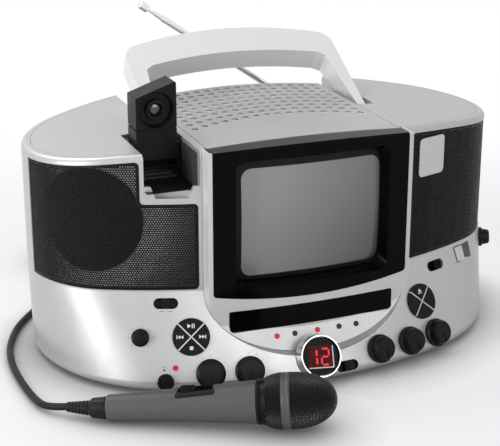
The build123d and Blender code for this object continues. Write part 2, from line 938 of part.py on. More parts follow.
with BuildPart() as screen_surround:
    with BuildSketch(shield_plane):
        add(shield_outline(0))
    extrude(amount=far)
    add(shield_block(0), mode=Mode.INTERSECT)
    with BuildSketch(Plane.XZ):
        add(crown_face(0, 0))
    extrude(amount=far, mode=Mode.INTERSECT)
    add(shield_hollow.part, mode=Mode.SUBTRACT)
    with BuildSketch(shield_plane):
        add(bezel_outline(fit_gap))
    extrude(amount=far, mode=Mode.SUBTRACT)
    with BuildSketch(shield_plane):
        add(door_outline(fit_gap))
    extrude(amount=far, mode=Mode.SUBTRACT)
    for x in led_places:
        with BuildSketch(chin_plane(x, led_row).offset(2)):
            Circle(led_radius + 0.05)
        extrude(amount=-12, mode=Mode.SUBTRACT)
save(screen_surround, "screen_surround")

recess_mid = (recess_foot + recess_top) / 2
recess_span = recess_top - recess_foot
with BuildPart() as tv_bezel:
    with BuildSketch(Plane.XZ.offset(-bezel_back)):
        add(bezel_outline(0))
    extrude(amount=far)
    add(bow_block(-bezel_proud), mode=Mode.INTERSECT)
    with BuildSketch(Plane.XZ):
        add(crown_face(bezel_drop, 0))
    extrude(amount=far, mode=Mode.INTERSECT)
    crest = tv_bezel.faces().filter_by(GeomType.CYLINDER).sort_by(Axis.Z)[-1]
    chamfer(crest.edges().sort_by(Axis.Y)[0], bezel_chamfer)
    # sloping recess down to the mask of the tube, then the tube's own opening
    with BuildSketch(Plane.XZ.offset(-shield_front + 6)):
        with Locations((0, recess_mid)):
            RectangleRounded(2 * recess_half_width + 3, recess_span + 3, tube_corner - 1)
    with BuildSketch(Plane.XZ.offset(-tube_back)):
        with Locations((0, tube_centre)):
            RectangleRounded(2 * tube_half_width, 2 * tube_half_height, tube_corner)
    loft(mode=Mode.SUBTRACT)
    with BuildSketch(Plane.XZ.offset(-bezel_back)):
        with Locations((0, tube_centre)):
            RectangleRounded(2 * tube_half_width, 2 * tube_half_height, tube_corner)
    extrude(amount=bezel_back - tube_back, mode=Mode.SUBTRACT)
save(tv_bezel, "tv_bezel")

tube_axis = Axis((0, 0, tube_centre), (0, 1, 0))
tube_radius = tube_half_width**2 / (2 * tube_bulge)
with BuildPart() as faceplate_ball:
    with Locations((0, tube_back - tube_bulge + tube_radius, tube_centre)):
        Sphere(tube_radius)

with BuildPart() as picture_tube:
    with BuildSketch(Plane.XZ.offset(-bezel_back - fit_gap)):
        with Locations((0, tube_centre)):
            RectangleRounded(2 * (tube_half_width - fit_gap), 2 * (tube_half_height - fit_gap),
                             tube_corner - fit_gap)
    extrude(amount=40)
    add(faceplate_ball.part, mode=Mode.INTERSECT)
    with BuildSketch(Plane.XZ.offset(-bezel_back - fit_gap)):
        with Locations((0, tube_centre)):
            RectangleRounded(2 * (tube_half_width + 2.5), 2 * (tube_half_height + 2.5), tube_corner + 3)
    extrude(amount=-tube_flange)
    with BuildSketch(Plane.XZ.offset(-bezel_back - fit_gap - tube_flange)):
        with Locations((0, tube_centre)):
            RectangleRounded(2 * (tube_half_width + 1), 2 * (tube_half_height + 1), tube_corner + 2)
    with BuildSketch(Plane.XZ.offset(-funnel_middle)):
        with Locations((0, tube_centre)):
            RectangleRounded(84, 70, 28)
    with BuildSketch(Plane.XZ.offset(-funnel_end)):
        with Locations((0, tube_centre)):
            Circle(neck_radius)
    loft(ruled=True)
    with BuildSketch(Plane.XZ.offset(-funnel_end)):
        with Locations((0, tube_centre)):
            Circle(neck_radius)
    extrude(amount=-(neck_end - funnel_end))
    fillet(picture_tube.edges().group_by(Axis.Y)[-1], 2)
save(picture_tube, "picture_tube")

with BuildPart() as deflection_yoke:
    with BuildSketch(Plane.YZ):
        with BuildLine():
            Polyline(
                (funnel_end + 1, tube_centre + yoke_radius),
                (funnel_end + 6, tube_centre + yoke_radius + 2),
                (funnel_end + 22, tube_centre + yoke_radius - 6),
                (funnel_end + 26, tube_centre + yoke_radius - 12),
                (funnel_end + 36, tube_centre + yoke_radius - 12),
                (funnel_end + 36, tube_centre + neck_radius + fit_gap),
                (funnel_end + 1, tube_centre + neck_radius + fit_gap),
                (funnel_end + 1, tube_centre + yoke_radius),
            )
        make_face()
    revolve(axis=tube_axis)
save(deflection_yoke, "deflection_yoke")

# ---------------------------------------------------------------- grilles and speakers
for side, name in ((-1, "left_grille"), (1, "right_grille")):
    with BuildPart() as grille:
        with BuildSketch(Plane.XZ.offset(fit_gap - grille_side)):
            add(grille_outline(side, 0))
        extrude(amount=far)
        add(oval_block(grille_sink), mode=Mode.INTERSECT)
        add(oval_block(grille_sink + grille_thick), mode=Mode.SUBTRACT)
    save(grille, name)

with BuildPart() as speakers:
    for side in (-1, 1):
        front = speaker_plane(side)
        with BuildSketch(side_view(front)):
            with BuildLine():
                Polyline(
                    (speaker_radius - 6, 0),
                    (speaker_radius, 0),
                    (speaker_radius, -3),
                    (speaker_radius - 5, -3),
                    (magnet_radius - 3, -basket_depth),
                    (magnet_radius, -basket_depth),
                    (magnet_radius, -basket_depth - magnet_thick),
                    (0, -basket_depth - magnet_thick),
                    (0, -dust_cap_depth + 5),
                )
                ThreePointArc((0, -dust_cap_depth + 5), (9, -dust_cap_depth + 3), (13, -dust_cap_depth))
                Polyline((13, -dust_cap_depth), (speaker_radius - 9, -2), (speaker_radius - 6, 0))
            make_face()
        revolve(axis=Axis(front.origin, front.z_dir))
save(speakers, "speakers")

# ---------------------------------------------------------------- camera and bracket
cheek_gap = camera_width / 2 + fit_gap
with BuildPart() as camera_bracket:
    with BuildSketch(Plane.XY.offset(bay_floor)):
        with Locations((bay_x, (bracket_front + bay_back - fit_gap) / 2)):
            Rectangle(bay_right - bay_left - 2 * fit_gap, bay_back - fit_gap - bracket_front)
        with Locations((camera_x, (bracket_front - 1 + bracket_back) / 2)):
            Rectangle(2 * cheek_gap, bracket_back - bracket_front + 1, mode=Mode.SUBTRACT)
    extrude(amount=bracket_top - bay_floor)
    fillet(camera_bracket.edges().filter_by(Axis.Z).group_by(Axis.Y)[0], 1.2)
    with BuildSketch(Plane.YZ.offset(camera_x)):
        with Locations((camera_hinge_y, camera_hinge_z)):
            Circle(camera_pin_radius)
    extrude(amount=cheek_gap + 1, both=True)
save(camera_bracket, "camera_bracket")

camera_y = (camera_front + camera_back) / 2
camera_depth = camera_back - camera_front
with BuildPart() as camera_arm:
    with BuildSketch(Plane.XY.offset(camera_foot)):
        with Locations((camera_x, camera_y)):
            Rectangle(camera_width, camera_depth)
    extrude(amount=camera_seam - camera_foot)
    fillet(camera_arm.edges().filter_by(Axis.X).group_by(Axis.Z)[0], 4)
    with BuildSketch(Plane.XY.offset(camera_seam)):
        with Locations((camera_x, camera_y)):
            Circle(camera_spigot)
    extrude(amount=4)
    with BuildSketch(Plane.YZ.offset(camera_x)):
        with Locations((camera_hinge_y, camera_hinge_z)):
            Circle(camera_pin_radius + 0.05)
    extrude(amount=cheek_gap, both=True, mode=Mode.SUBTRACT)
save(camera_arm, "camera_arm")

camera_half = camera_width / 2
with BuildPart() as camera_head:
    with BuildSketch(Plane.XZ.offset(-camera_back)):
        with BuildLine():
            Polyline(
                (camera_x - camera_half, camera_seam + 0.3),
                (camera_x + camera_half, camera_seam + 0.3),
                (camera_x + camera_half, camera_high_top),
                (camera_x - camera_half, camera_low_top),
                (camera_x - camera_half, camera_seam + 0.3),
            )
        make_face()
    extrude(amount=camera_depth)
    fillet(camera_head.edges().filter_by(Axis.Y), 1.5)
    with BuildSketch(Plane.XY.offset(camera_seam)):
        with Locations((camera_x, camera_y)):
            Circle(camera_spigot + 0.05)
    extrude(amount=4.5, mode=Mode.SUBTRACT)
    # dish round the lens, the lens barrel and its glass
    with BuildSketch(Plane.XZ.offset(-camera_front)):
        with Locations((camera_x, lens_z)):
            Circle(dish_radius - 0.5)
    extrude(amount=-dish_depth, taper=20, mode=Mode.SUBTRACT)
    with BuildSketch(Plane.XZ.offset(-camera_front - dish_depth)):
        with Locations((camera_x, lens_z)):
            Circle(lens_radius)
            Circle(lens_radius - 2.5, mode=Mode.SUBTRACT)
    extrude(amount=dish_depth - 0.5)
    with BuildSketch(Plane.XZ.offset(-camera_front - dish_depth)):
        with Locations((camera_x, lens_z)):
            Circle(lens_radius - 2.5)
    extrude(amount=1.2)
save(camera_head, "camera_head")

# ---------------------------------------------------------------- disc drawer
disc_y = tray_front + 5 + disc_radius
with BuildPart() as deck_frame:
    with BuildSketch(Plane.XY.offset(deck_z)):
        with Locations((0, (deck_front + deck_rear) / 2)):
            Rectangle(2 * deck_half, deck_rear - deck_front)
        with Locations((0, disc_y + (rod_start + rod_end) / 2)):
            Rectangle(2 * sled_half + 8, rod_end - rod_start - 2, mode=Mode.SUBTRACT)
    extrude(amount=2)
    for side in (-1, 1):
        with BuildSketch(Plane.XZ.offset(-deck_rear)):
            with BuildLine():
                Polyline(
                    (side * deck_half, deck_z),
                    (side * deck_half, tray_floor + tray_thick + 4),
                    (side * (rail_inner), tray_floor + tray_thick + 4),
                    (side * (rail_inner), tray_floor + runner_thick + slide_gap),
                    (side * (runner_half + slide_gap), tray_floor + runner_thick + slide_gap),
                    (side * (runner_half + slide_gap), tray_floor - fit_gap),
                    (side * (runner_half - 5), tray_floor - fit_gap),
                    (side * (runner_half - 5), tray_floor - fit_gap - 2),
                    (side * (deck_half - 2), tray_floor - fit_gap - 2),
                    (side * (deck_half - 2), deck_z),
                    (side * deck_half, deck_z),
                )
            make_face()
        extrude(amount=deck_rear - deck_front)
    with BuildSketch(Plane.XY.offset(deck_z)):
        with Locations((0, disc_y)):
            Circle(12)
    extrude(amount=6)
    with BuildSketch(Plane.XY.offset(deck_z)):
        with Locations((0, disc_y)):
            Circle(spindle_radius)
    extrude(amount=turntable_z + 3 - deck_z)
    for block in (rod_start - 1.5, rod_end + 1.5):
        with BuildSketch(Plane.XY.offset(deck_z)):
            with Locations((0, disc_y + block)):
                Rectangle(2 * sled_rod + 6, 3)
        extrude(amount=sled_z + 2 - deck_z)
    for x in (-sled_rod, sled_rod):
        with BuildSketch(Plane.XZ.offset(-disc_y - rod_start + 1)):
            with Locations((x, sled_z)):
                Circle(1.5)
        extrude(amount=-(rod_end - rod_start + 2))
save(deck_frame, "deck_frame")

with BuildPart() as turntable:
    with BuildSketch(side_view(Plane(origin=(0, disc_y, turntable_z)))):
        with BuildLine():
            Polyline(
                (spindle_radius + 0.05, 0),
                (turntable_radius, 0),
                (turntable_radius, 1.6),
                (8.2, 1.6),
                (7.2, turntable_height),
                (spindle_radius + 0.05, turntable_height),
                (spindle_radius + 0.05, 0),
            )
        make_face()
    revolve(axis=Axis((0, disc_y, 0), (0, 0, 1)))
    with BuildSketch(Plane.XY.offset(turntable_z + 1.6)):
        with Locations((0, disc_y)):
            with PolarLocations(11.6, 3):
                Circle(1.2)
    extrude(amount=-1, mode=Mode.SUBTRACT)
save(turntable, "turntable")

with BuildPart() as laser_sled:
    with BuildSketch(Plane.XY.offset(sled_z - 2.7)):
        with Locations((0, disc_y + sled_start)):
            Rectangle(2 * sled_half, sled_length)
    extrude(amount=5.7)
    with BuildSketch(Plane.XY.offset(sled_z + 3)):
        with Locations((0, disc_y + sled_start)):
            Circle(4)
    extrude(amount=1.4)
    for x in (-sled_rod, sled_rod):
        with BuildSketch(Plane.XZ.offset(-disc_y - sled_start + sled_length)):
            with Locations((x, sled_z)):
                Circle(1.55)
        extrude(amount=-2 * sled_length, mode=Mode.SUBTRACT)
save(laser_sled, "laser_sled")

with BuildPart() as disc_tray:
    with BuildSketch(Plane.XY.offset(tray_floor)):
        with Locations((0, tray_front + tray_length / 2 - 5)):
            Rectangle(2 * tray_half_width, tray_length + 10)
    extrude(amount=tray_thick)
    with BuildSketch(Plane.XY.offset(tray_floor)):
        with Locations((0, tray_front + tray_length / 2 + 14)):
            Rectangle(2 * runner_half, tray_length - 28)
    extrude(amount=runner_thick)
    add(bow_block(door_thick - door_proud), mode=Mode.INTERSECT)
    # seats of the large and the small disc, then the slot for turntable and sled
    with BuildSketch(Plane.XY.offset(tray_floor + tray_thick)):
        with Locations((0, disc_y)):
            Circle(disc_radius)
    extrude(amount=-3.2, mode=Mode.SUBTRACT)
    with BuildSketch(Plane.XY.offset(tray_floor + tray_thick)):
        with Locations((0, disc_y)):
            Circle(disc_radius * 2 / 3)
    extrude(amount=-4.4, mode=Mode.SUBTRACT)
    with BuildSketch(Plane.XY.offset(tray_floor)):
        with Locations((0, disc_y + 20)):
            SlotOverall(78, 36, rotation=90)
    extrude(amount=tray_thick, mode=Mode.SUBTRACT)
save(disc_tray, "disc_tray")

with BuildPart() as tray_door:
    with BuildSketch(Plane.XZ):
        add(door_outline(0))
    extrude(amount=far)
    add(bow_block(-door_proud), mode=Mode.INTERSECT)
    add(bow_block(door_thick - door_proud), mode=Mode.SUBTRACT)
save(tray_door, "tray_door")

# ---------------------------------------------------------------- belly controls
with BuildPart() as display_ring:
    face = panel_plane(*display_place)
    with BuildSketch(side_view(face)):
        with BuildLine():
            Polyline(
                (display_radius - 5, -display_sink),
                (display_radius, -display_sink),
                (display_radius, 1),
                (display_radius - 2, display_height),
                (display_radius - 2.8, display_height),
                (window_radius + 0.2, window_z + 3),
                (window_radius + 0.2, window_z),
                (display_radius - 5, window_z),
                (display_radius - 5, -display_sink),
            )
        make_face()
    revolve(axis=Axis(face.origin, face.z_dir))
save(display_ring, "display_ring")

with BuildPart() as display_window:
    with BuildSketch(panel_plane(*display_place).offset(window_z + 0.1)):
        Circle(window_radius)
    extrude(amount=2.2)
save(display_window, "display_window")

with BuildPart() as status_leds:
    for x in led_places:
        with BuildSketch(chin_plane(x, led_row).offset(-4)):
            Circle(led_radius)
        extrude(amount=4.8)
    with BuildSketch(panel_plane(*power_led_place).offset(-4)):
        Circle(led_radius)
    extrude(amount=4.8)
    fillet(status_leds.edges().filter_by(GeomType.CIRCLE).group_by(Axis.Y)[0], 0.6)
save(status_leds, "status_leds")


def knob_profile(radius, height):
    """Right half of a knob: stem, skirt and slightly tapered grip."""
    with BuildSketch() as profile:
        with BuildLine():
            Polyline(
                (0, -6.5),
                (stem_radius, -6.5),
                (stem_radius, knob_lift),
                (radius, knob_lift),
                (radius, knob_lift + 2.4),
                (radius - 1.6, knob_lift + 3.4),
                (radius - 2.4, height - 1.2),
                (radius - 3.4, height),
                (0, height),
                (0, -6.5),
            )
        make_face()
    return profile.sketch


def knob_solid(plane, radius, height, flutes):
    """A fluted knob on its stem, standing on the given plane."""
    flute = radius * math.pi / flutes * 0.55
    with BuildPart() as solid:
        with BuildSketch():
            add(knob_profile(radius, height))
        revolve(axis=Axis.Y)
        with BuildSketch(Plane.XZ.offset(-height - 1)):
            with PolarLocations(radius - 1.2 + flute * 0.35, flutes):
                Circle(flute)
        extrude(amount=height - knob_lift - 3, mode=Mode.SUBTRACT)
        with BuildSketch(Plane.XZ.offset(-height)):
            with Locations((0, radius * 0.45)):
                Rectangle(1.4, radius * 0.62)
        extrude(amount=0.8, mode=Mode.SUBTRACT)
    return side_view(plane).location * solid.part


knob_planes = {name: panel_plane(*place) for name, place in knob_places.items()}
for name, plane in knob_planes.items():
    with BuildPart() as knob:
        add(knob_solid(plane, knob_radius, knob_height, 14))
    save(knob, name)

with BuildPart() as contrast_knob:
    add(knob_solid(panel_plane(*contrast_place), small_knob_radius, 9.0, 10))
save(contrast_knob, "contrast_knob")

with BuildPart() as side_knob:
    add(knob_solid(side_plane, side_knob_radius, 10.0, 12))
save(side_knob, "side_knob")

with BuildPart() as power_button:
    with BuildSketch(panel_plane(*power_place).offset(-3.5)):
        Circle(power_radius)
    extrude(amount=3.5 + power_proud)
    fillet(power_button.edges().filter_by(GeomType.CIRCLE).group_by(Axis.Y)[0], 0.8)
    with BuildSketch(panel_plane(*power_place).offset(-3.5)):
        Circle(2)
    extrude(amount=-2.5)
save(power_button, "power_button")

key_names = {"right": 0, "top": 90, "left": 180, "bottom": 270}
for pad, place in pad_places.items():
    for direction, turn in key_names.items():
        with BuildPart() as key:
            with BuildSketch(panel_plane(*place).offset(-5)):
                add(key_outline(turn, 0))
            extrude(amount=5 + key_proud)
            top_face = key.faces().sort_by_distance(
                panel_plane(*place).origin + 50 * panel_plane(*place).z_dir)[0]
            fillet(top_face.edges(), 0.5)
        save(key, f"{pad}_key_{direction}")

for name, place in slot_places.items():
    with BuildPart() as switch:
        face = panel_plane(*place)
        with BuildSketch(face.offset(-apron_depth)):
            Rectangle(slot_length + 2 * slide_travel + 2 * apron_overlap,
                      slot_width - 2 * apron_gap)
        extrude(amount=-apron_thick)
        with BuildSketch(face.offset(-apron_depth)):
            RectangleRounded(slide_lever, slot_width - 2 * fit_gap, 1.5)
        extrude(amount=apron_depth + 1.6)
        with BuildSketch(face.offset(1.6)):
            with GridLocations(2.0, 0, 3, 1):
                Rectangle(0.8, slot_width - 2)
        extrude(amount=0.9)
    save(switch, name)

# ---------------------------------------------------------------- handle
handle_lean = math.radians(handle_tilt)
handle_up = (0, math.cos(handle_lean), math.sin(handle_lean))
handle_normal = (0, -math.sin(handle_lean), math.cos(handle_lean))
handle_plane = Plane(origin=(0, handle_pivot_y, handle_pivot_z), x_dir=(1, 0, 0), z_dir=handle_normal)

with BuildPart() as handle:
    with BuildSketch(handle_plane.offset(-handle_thick / 2)):
        with BuildLine():
            crest = ThreePointArc(
                (-handle_half_width, handle_shoulder), (0, handle_crest), (handle_half_width, handle_shoulder)
            )
            Polyline(crest @ 1, (handle_half_width, 0), (-handle_half_width, 0), crest @ 0)
        make_face()
        with BuildLine():
            inner = ThreePointArc(
                (-grip_corner_x, grip_corner_s), (0, grip_crest), (grip_corner_x, grip_corner_s)
            )
            Polyline(
                inner @ 1,
                (grip_waist, grip_waist_s),
                (grip_foot, -1),
                (-grip_foot, -1),
                (-grip_waist, grip_waist_s),
                inner @ 0,
            )
        make_face(mode=Mode.SUBTRACT)
    extrude(amount=handle_thick)
    fillet([e for e in handle.edges() if e.length > handle_thick - 1 and e.length < handle_thick + 1
            and abs(e.center().X) > handle_half_width - 1
            and (e.center() - handle_plane.origin).dot(Vector(*handle_up)) > 50], 16)
    fillet([f for f in handle.faces() if abs(f.normal_at().dot(Vector(*handle_normal))) > 0.99][0].edges(), 2.2)
    for side in (-1, 1):
        with BuildSketch(Plane.YZ.offset(side * hub_inner)):
            with Locations((handle_pivot_y, handle_pivot_z)):
                Circle(hub_radius)
        extrude(amount=side * (hub_outer - hub_inner))
        with BuildSketch(Plane.YZ.offset(side * (middle_half_width - 2))):
            with Locations((handle_pivot_y, handle_pivot_z)):
                Circle(trunnion_radius)
        extrude(amount=side * (channel_outer + 2 - middle_half_width + 2))
save(handle, "handle")

# ---------------------------------------------------------------- telescopic antenna
lean = math.radians(antenna_lean)
mast_up = Vector(-math.sin(lean), 0, math.cos(lean))
pin_axis = Vector(math.cos(lean), 0, math.sin(lean))
mast_base = Vector(antenna_x, antenna_y, antenna_z)


def lug_plane(across):
    """Plane square to the antenna's hinge pin, a distance along it."""
    return Plane(origin=mast_base + across * pin_axis, x_dir=(0, 1, 0), z_dir=pin_axis)


def mast_plane(along):
    """Plane square to the antenna at a distance along it."""
    return Plane(origin=mast_base + along * mast_up, x_dir=pin_axis, z_dir=mast_up)


with BuildPart() as antenna_turret:
    with BuildSketch(Plane.XZ.offset(-boss_end + 12)):
        with Locations((antenna_x, antenna_z)):
            Circle(stem_radius)
    extrude(amount=-12 - fit_gap)
    with BuildSketch(Plane.XZ.offset(-boss_end - fit_gap)):
        with Locations((antenna_x, antenna_z)):
            Circle(7)
    extrude(amount=-2.8)
    reach = antenna_y - boss_end - 2
    for side in (-1, 1):
        with BuildSketch(lug_plane(side * (knuckle_half + fork_gap))):
            Circle(knuckle_radius)
            with Locations((-reach / 2, 0)):
                Rectangle(reach, 2 * knuckle_radius)
        extrude(amount=side * lug_thick)
    with BuildSketch(lug_plane(0)):
        Circle(1.25)
    extrude(amount=knuckle_half + fork_gap + 0.1, both=True)
save(antenna_turret, "antenna_turret")

mast_tops = (mast_length, mast_length + mast_out, mast_length + mast_out + mast_step)
with BuildPart() as antenna_mast_1:
    with BuildSketch(lug_plane(0)):
        Circle(knuckle_radius)
    extrude(amount=knuckle_half, both=True)
    with BuildSketch(mast_plane(2)):
        Circle(mast_radii[0])
    extrude(amount=mast_tops[0] - 2)
    with BuildSketch(mast_plane(8)):
        Circle(mast_radii[1] + mast_bore_gap)
    extrude(amount=mast_tops[0], mode=Mode.SUBTRACT)
    with BuildSketch(lug_plane(0)):
        Circle(1.3)
    extrude(amount=knuckle_half + 1, both=True, mode=Mode.SUBTRACT)
save(antenna_mast_1, "antenna_mast_1")

with BuildPart() as antenna_mast_2:
    with BuildSketch(mast_plane(mast_tail)):
        Circle(mast_radii[1])
    extrude(amount=mast_tops[1] - mast_tail)
    with BuildSketch(mast_plane(mast_tail + 4)):
        Circle(mast_radii[2] + mast_bore_gap)
    extrude(amount=mast_tops[1], mode=Mode.SUBTRACT)
save(antenna_mast_2, "antenna_mast_2")

with BuildPart() as antenna_mast_3:
    with BuildSketch(mast_plane(mast_tail + 4 + mast_step + 1)):
        Circle(mast_radii[2])
    extrude(amount=mast_tops[2] - mast_tail - mast_step - 5)
    with BuildSketch(mast_plane(mast_tops[2])):
        Circle(mast_radii[0] + 1)
    extrude(amount=cap_length)
    fillet(antenna_mast_3.edges().filter_by(GeomType.CIRCLE).group_by(Axis.Z)[-1], 1)
save(antenna_mast_3, "antenna_mast_3")

# ---------------------------------------------------------------- microphone
mic_dir = (Vector(*mic_head_end) - Vector(*mic_tail)).normalized()
mic_plane = Plane(origin=mic_tail, x_dir=(-mic_dir.Y, mic_dir.X, 0), z_dir=mic_dir)
mic_side = side_view(mic_plane)
mic_length = (Vector(*mic_head_end) - Vector(*mic_tail)).length


def mic_top_plane(along, height):
    """Plane above the microphone's axis, with X along the axis."""
    origin = Vector(*mic_tail) + along * mic_dir + height * mic_plane.y_dir
    return Plane(origin=origin, x_dir=mic_dir, z_dir=mic_plane.y_dir)


switch_middle = (switch_start + switch_end) / 2
with BuildPart() as microphone_body:
    with BuildSketch(mic_side):
        with BuildLine():
            Polyline(
                (0, 0),
                (mic_tail_radius - 1.5, 0),
                (mic_tail_radius, 1.5),
                (mic_middle_radius, mic_neck / 2),
                (mic_neck_radius, mic_neck - 1.5),
                (mic_neck_radius, mic_neck),
                (0, mic_neck),
                (0, 0),
            )
        make_face()
    revolve(axis=Axis(mic_plane.origin, mic_dir))
    with BuildSketch(mic_top_plane(switch_middle, switch_seat)):
        RectangleRounded(switch_end - switch_start, switch_width, 3)
    extrude(amount=10, mode=Mode.SUBTRACT)
save(microphone_body, "microphone_body")

with BuildPart() as microphone_head:
    with BuildSketch(mic_side):
        with BuildLine():
            Polyline(
                (0, mic_neck),
                (mic_neck_radius + 1, mic_neck),
                (mic_neck_radius + 1, mic_neck + mic_collar),
                (mic_head_radius - 3, mic_neck + mic_collar + 1),
            )
            ThreePointArc(
                (mic_head_radius - 3, mic_neck + mic_collar + 1),
                (mic_head_radius - 0.9, mic_neck + mic_collar + 6),
                (mic_head_radius - 0.2, mic_band_start),
            )
            Polyline(
                (mic_head_radius - 0.2, mic_band_start),
                (mic_head_radius + 0.3, mic_band_start + 0.8),
                (mic_head_radius + 0.3, mic_band_end - 0.8),
                (mic_head_radius - 0.3, mic_band_end),
            )
            Spline(
                (mic_head_radius - 0.3, mic_band_end),
                (mic_head_radius * 0.88, mic_length - 17),
                (0, mic_length),
                tangents=((0, 1), (-1, 0)),
            )
            Line((0, mic_length), (0, mic_neck))
        make_face()
    revolve(axis=Axis(mic_plane.origin, mic_dir))
save(microphone_head, "microphone_head")

with BuildPart() as microphone_switch:
    with BuildSketch(mic_top_plane(switch_start + 8, switch_seat + 0.1)):
        RectangleRounded(12.4, switch_width - 1.4, 2)
    extrude(amount=3.6)
    with BuildSketch(mic_top_plane(switch_start + 8, switch_seat + 3.7)):
        with GridLocations(2.2, 0, 4, 1):
            Rectangle(0.9, switch_width - 3)
    extrude(amount=0.7)
save(microphone_switch, "microphone_switch")

relief_dir = (Vector(*cord_points_a[1]) - Vector(*relief_end)).normalized()
with BuildPart() as microphone_relief:
    with BuildSketch(Plane(origin=mic_tail, x_dir=mic_plane.x_dir, z_dir=-mic_dir)):
        Circle(mic_tail_radius - 3)
    with BuildSketch(Plane(origin=relief_end, x_dir=mic_plane.x_dir, z_dir=relief_dir)):
        Circle(cable_radius + 0.8)
    loft(ruled=True)
save(microphone_relief, "microphone_relief")

# ---------------------------------------------------------------- sockets, plug and cable
with BuildPart() as jack_panel:
    with BuildSketch(jack_plane.offset(-panel_depth - panel_thick)):
        Rectangle(panel_width, panel_height)
    extrude(amount=panel_thick)
    with BuildSketch(jack_plane.offset(-panel_depth)):
        with Locations(*socket_places):
            Circle(4.2)
    extrude(amount=7)
    with BuildSketch(jack_plane.offset(-panel_depth)):
        Circle(5.8)
    extrude(amount=1)
    with BuildSketch(jack_plane.offset(-panel_depth - panel_thick)):
        Circle(5.6)
        with Locations(*socket_places):
            Circle(3.4)
    extrude(amount=-13)
    with BuildSketch(jack_plane.offset(-panel_depth - panel_thick)):
        with Locations((inlet_x, 0)):
            SlotOverall(18, 11)
    extrude(amount=-13)
    with BuildSketch(jack_plane):
        with Locations(*socket_places):
            Circle(1.7)
        with Locations((inlet_x, 0)):
            SlotOverall(15, 8)
    extrude(amount=-13, mode=Mode.SUBTRACT)
    with BuildSketch(jack_plane.offset(8)):
        with Locations(*socket_places):
            Circle(1.7)
        Circle(plug_tip + stem_gap)
    extrude(amount=-8 - panel_depth - panel_thick - 12, mode=Mode.SUBTRACT)
    with BuildSketch(jack_plane.offset(-13)):
        with Locations((inlet_x - 3.2, 0), (inlet_x + 3.2, 0)):
            Circle(1.1)
    extrude(amount=8)
save(jack_panel, "jack_panel")

plug_foot = 1 - panel_depth + 0.1
with BuildPart() as mic_plug:
    with BuildSketch(side_view(jack_plane)):
        with BuildLine():
            Polyline(
                (0, -panel_depth - 13),
                (plug_tip - 1, -panel_depth - 13),
                (plug_tip, -panel_depth - 11),
                (plug_tip, plug_foot),
                (plug_radius - 0.8, plug_foot),
                (plug_radius, plug_foot + 0.8),
                (plug_radius, plug_foot + plug_length - 4),
                (plug_radius - 2, plug_foot + plug_length),
                (cable_radius + 0.9, plug_foot + plug_length + 8),
                (0, plug_foot + plug_length + 8),
                (0, -panel_depth - 13),
            )
        make_face()
    revolve(axis=Axis(jack_plane.origin, jack_plane.z_dir))
save(mic_plug, "mic_plug")

with BuildPart() as mic_coil:
    with BuildSketch(Plane.XZ.offset(-coil_y)):
        with Locations((coil_x + coil_radius, coil_height / 2)):
            RectangleRounded(coil_wide, coil_height, 5)
    revolve(axis=Axis((coil_x, coil_y, 0), (0, 0, 1)))
save(mic_coil, "mic_coil")


def corner_radii(points):
    """Radius of each bend: as large as its two runs allow."""
    radii = []
    for before, corner, after in zip(points, points[1:], points[2:]):
        run_in = Vector(*corner) - Vector(*before)
        run_out = Vector(*after) - Vector(*corner)
        turn = math.radians(run_in.get_angle(run_out))
        radii.append(0.45 * min(run_in.length, run_out.length) / math.tan(turn / 2))
    return radii


plug_end = jack_plane.origin + (plug_foot + plug_length + 8) * jack_plane.z_dir
cord_routes = {
    "mic_cord_a": [relief_end, *cord_points_a[1:]],
    "mic_cord_b": [tuple(plug_end), *cord_points_b],
}
for name, points in cord_routes.items():
    radii = corner_radii(points)
    print(name, "bend radii", [round(r, 1) for r in radii])
    with BuildPart() as cord:
        with BuildLine():
            route = FilletPolyline(*points, radius=radii)
        with BuildSketch(Plane(origin=route @ 0, z_dir=route % 0)):
            Circle(cable_radius)
        sweep()
    print(name, "length", round(route.length, 1), "volume",
          round(cord.part.volume), round(math.pi * cable_radius**2 * route.length))
    save(cord, name)
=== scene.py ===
"""Looks of the table-top karaoke player: finishes, grilles, cable, marks, floor and light.

Shapes are worked out in millimetres in the row frame (X right, Y back, Z up, the table at
zero) and become metres where a mesh or curve is made.
"""

import json
import math

import bmesh
import bpy
import numpy as np
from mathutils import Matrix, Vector
from mathutils.geometry import delaunay_2d_cdt


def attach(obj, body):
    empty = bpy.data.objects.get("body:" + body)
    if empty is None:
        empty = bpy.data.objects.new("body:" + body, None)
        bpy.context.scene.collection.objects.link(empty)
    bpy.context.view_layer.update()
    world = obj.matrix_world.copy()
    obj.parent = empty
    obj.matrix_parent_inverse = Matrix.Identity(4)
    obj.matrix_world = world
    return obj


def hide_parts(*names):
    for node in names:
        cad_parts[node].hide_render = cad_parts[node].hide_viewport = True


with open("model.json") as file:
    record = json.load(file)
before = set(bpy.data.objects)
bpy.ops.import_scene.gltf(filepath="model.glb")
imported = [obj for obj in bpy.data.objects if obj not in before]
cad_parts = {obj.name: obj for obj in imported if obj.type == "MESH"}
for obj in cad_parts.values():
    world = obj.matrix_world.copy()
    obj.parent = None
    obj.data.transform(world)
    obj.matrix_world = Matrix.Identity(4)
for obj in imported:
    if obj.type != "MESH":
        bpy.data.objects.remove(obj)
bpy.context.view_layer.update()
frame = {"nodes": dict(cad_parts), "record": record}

MM = 0.001

# body outline, as (half width, front depth, corner radius)
UPPER_OVAL = (215.0, 114.5, 84.0)
LOWER_OVAL = (213.0, 154.0, 140.0)
BELLY_TOP = 81.0
BASE_Z = 3.0
CROWN_TOP = 204.5
CROWN_DROP = 15.0
CROWN_RADIUS = (UPPER_OVAL[0] ** 2 + CROWN_DROP**2) / (2 * CROWN_DROP)

